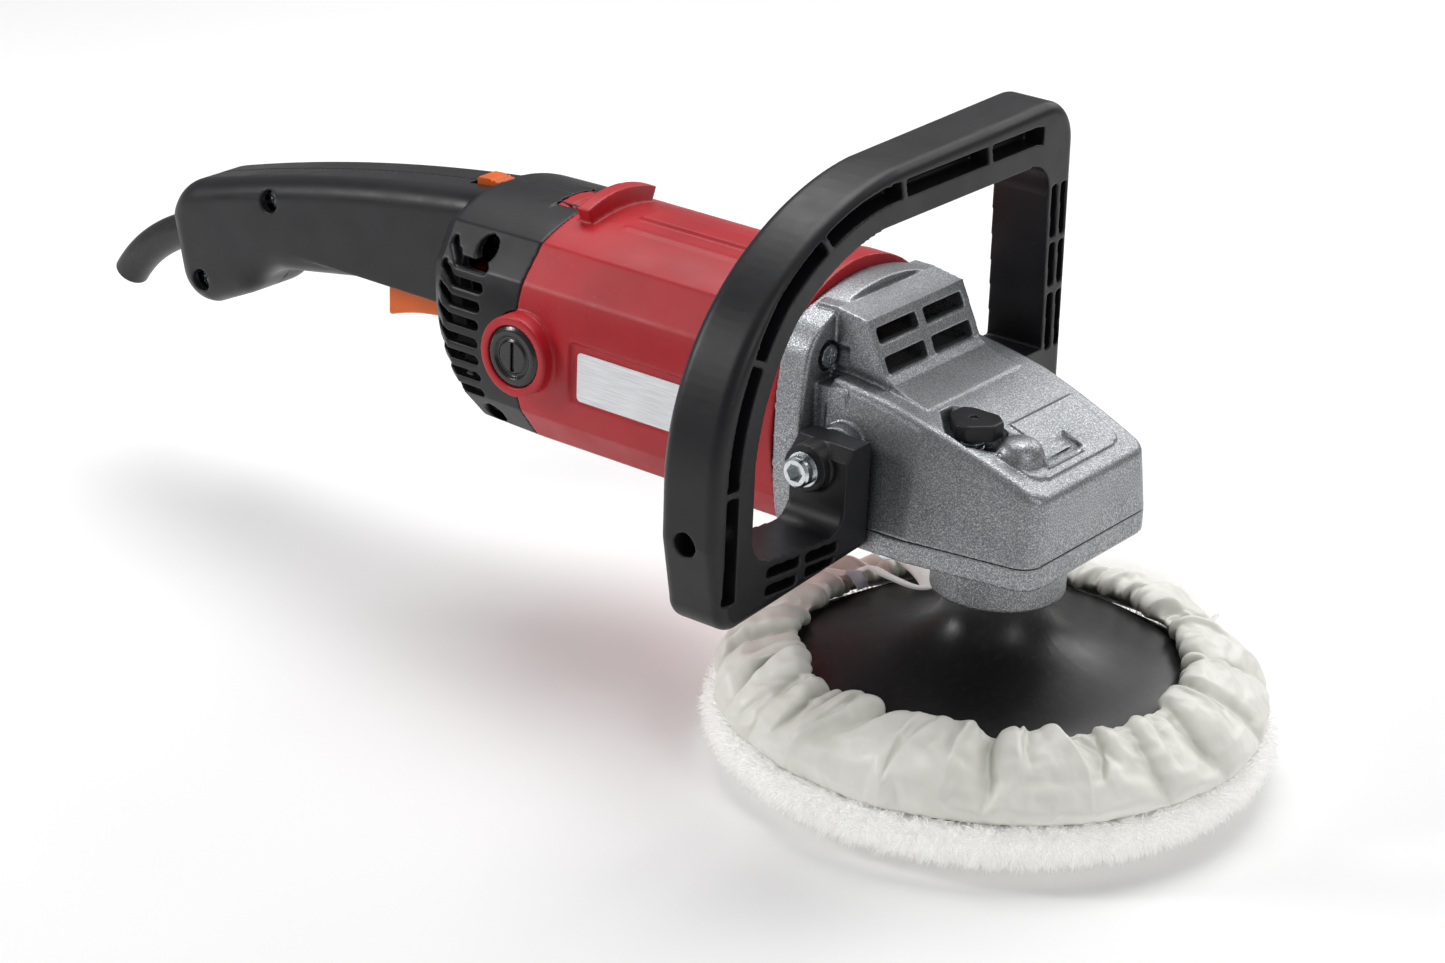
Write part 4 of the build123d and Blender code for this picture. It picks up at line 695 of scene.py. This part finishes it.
def make_wool_base():
    """Closed clumpy body under the strands."""
    columns, rows = 420, 46
    share = np.linspace(0, 1, rows)
    radius, height = along_profile(pile, share)
    radius[0] = 0.0
    points, faces = [(0.0, 0.0, height[0])], []
    for row in range(1, rows):
        for column in range(columns):
            a = 2 * math.pi * column / columns
            spot = Vector((radius[row] * math.cos(a), radius[row] * math.sin(a), height[row])) * 0.22
            lump = noise.noise(spot) * 0.9 + noise.noise(spot * 2.7) * 0.5
            r = radius[row] + lump * min(1.0, radius[row] / 60)
            z = max(0.6, height[row] + lump * 0.35)
            points.append((r * math.cos(a), r * math.sin(a), z))
    top = len(points)
    points += [(89.9 * math.cos(2 * math.pi * c / columns), 89.9 * math.sin(2 * math.pi * c / columns), 11.9)
               for c in range(columns)]
    points.append((0.0, 0.0, 11.9))
    ringed = lambda row, c: 1 + (row - 1) * columns + c % columns
    for c in range(columns):
        faces.append((0, ringed(1, c + 1), ringed(1, c)))
        for row in range(1, rows - 1):
            faces.append((ringed(row, c), ringed(row, c + 1), ringed(row + 1, c + 1), ringed(row + 1, c)))
        faces.append((ringed(rows - 1, c), ringed(rows - 1, c + 1), top + (c + 1) % columns, top + c))
        faces.append((top + c, top + (c + 1) % columns, len(points) - 1))
    piece = new_piece("bonnet_wool_body", np.array(points) * MM, faces)
    dress(piece, "bonnet_wool")
    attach(piece, "spindle_set")
    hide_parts("bonnet_wool")


def make_strands(name, count, first, last, length, width, seed):
    """Wool strands as thin curved blades, leaning together in locks."""
    source = random.Random(seed)
    points, faces = [], []
    for _ in range(count):
        share = source.uniform(first, last)
        angle = source.uniform(0, 2 * math.pi)
        r0, z0 = (float(v) for v in along_profile_fast(share))
        r1, z1 = (float(v) for v in along_profile_fast(min(1.0, share + 0.01)))
        slope = math.hypot(r1 - r0, z1 - z0) or 1.0
        out_r, out_z = (z1 - z0) / slope, -(r1 - r0) / slope
        radial = Vector((math.cos(angle), math.sin(angle), 0))
        around = Vector((-math.sin(angle), math.cos(angle), 0))
        base = radial * (r0 - 0.6) + Vector((0, 0, z0))
        lock = Vector((base.x, base.y, base.z)) * 0.16
        lean_around = noise.noise(lock) * 1.5 + noise.noise(lock * 2.4) * 0.7
        lean_up = noise.noise(lock + Vector((9, 4, 2))) * 0.9 - 0.25
        direction = radial * out_r + Vector((0, 0, out_z)) + around * lean_around + Vector((0, 0, lean_up))
        direction += Vector([source.gauss(0, 0.22) for _ in range(3)])
        direction.normalize()
        droop = Vector((0, 0, -0.35)) + around * source.gauss(0, 0.25) + radial * 0.15
        size = length * source.uniform(0.55, 1.15) * (0.8 + 0.5 * noise.noise(lock * 1.7))
        any_way = Vector((source.gauss(0, 1), source.gauss(0, 1), source.gauss(0, 1)))
        side = direction.cross(any_way).normalized()
        start = len(points)
        segments = 3
        for k in range(segments + 1):
            t = k / segments
            spot = base + direction * (size * t) + droop * (size * 0.45 * t * t)
            spot.z = max(0.15, spot.z)
            if k < segments:
                half = side * (width * (1 - 0.65 * t) / 2)
                points += [spot - half, spot + half]
            else:
                points.append(spot)
        for k in range(segments - 1):
            a = start + 2 * k
            faces.append((a, a + 1, a + 3, a + 2))
        tip = start + 2 * segments
        faces.append((tip - 2, tip - 1, tip))
    piece = new_piece(name, [p * MM for p in points], faces)
    dress(piece, "bonnet_wool")
    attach(piece, "spindle_set")


pile_table = along_profile(pile, np.linspace(0, 1, 401))


def along_profile_fast(share):
    """The pile's curve read from a table."""
    spot = share * 400
    return (np.interp(spot, np.arange(401), pile_table[0]), np.interp(spot, np.arange(401), pile_table[1]))


make_wool_base()
thinned = 1.0
make_strands("wool_rim_strands", int(38000 * thinned), 0.66, 1.0, 5.2, 0.55, 5)
make_strands("wool_face_strands", int(9000 * thinned), 0.30, 0.74, 3.4, 0.8, 6)


# ---- stage, light and camera ----
def area_light(name, place, target, width, height, power, colour=(1, 1, 1)):
    data = bpy.data.lights.new(name, "AREA")
    data.shape = "RECTANGLE"
    data.size = width
    data.size_y = height
    data.energy = power
    data.color = colour
    light = bpy.data.objects.new(name, data)
    light.location = place
    light.rotation_mode = "QUATERNION"
    light.rotation_quaternion = (Vector(target) - Vector(place)).to_track_quat("-Z", "Y")
    bpy.context.scene.collection.objects.link(light)


middle = (-0.15, 0, 0.10)
area_light("overhead", (-0.38, 0.42, 1.35), middle, 1.2, 0.9, 15.0)
area_light("left_key", (-1.15, -0.85, 0.80), middle, 0.22, 0.40, 7.5)
area_light("right_fill", (1.20, -0.35, 0.80), middle, 0.35, 0.7, 3.2)
area_light("rear_rim", (0.1, 1.3, 0.8), middle, 1.0, 0.5, 5.0)

floor_paint = Paint("floor", roughness=0.7)
floor_tone = floor_paint.ramp(floor_paint.noise(3, 3.0), (0.3, (0.93, 0.93, 0.93)), (0.7, (0.95, 0.95, 0.95)))
floor_paint.finish(floor_tone)
floor = new_piece("floor", [(-6, -6, 0), (6, -6, 0), (6, 6, 0), (-6, 6, 0)], [(0, 1, 2, 3)])
floor.data.materials.append(floor_paint.material)
floor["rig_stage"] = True

world = bpy.data.worlds.new("studio")
world.use_nodes = True
world.node_tree.nodes["Background"].inputs["Color"].default_value = (1, 1, 1, 1)
world.node_tree.nodes["Background"].inputs["Strength"].default_value = 0.28
bpy.context.scene.world = world
bpy.context.scene.view_settings.view_transform = "Standard"

azimuth, elevation, roll = math.radians(36.94), math.radians(23.26), math.radians(2.30)
level = math.cos(elevation)
back = Vector((math.sin(azimuth) * level, -math.cos(azimuth) * level, math.sin(elevation)))
right = (-back).cross(Vector((0, 0, 1))).normalized()
up = right.cross(-back)
turned_right = right * math.cos(roll) + up * math.sin(roll)
turned_up = up * math.cos(roll) - right * math.sin(roll)
camera_data = bpy.data.cameras.new("camera")
camera_data.lens = 87.2
camera_data.sensor_width = 36
camera = bpy.data.objects.new("camera", camera_data)
camera_turn = Matrix((turned_right, turned_up, back)).transposed().to_4x4()
camera.matrix_world = Matrix.Translation((0.5683, -0.9120, 0.5560)) @ camera_turn
bpy.context.scene.collection.objects.link(camera)
bpy.context.scene.camera = camera

low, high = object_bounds()
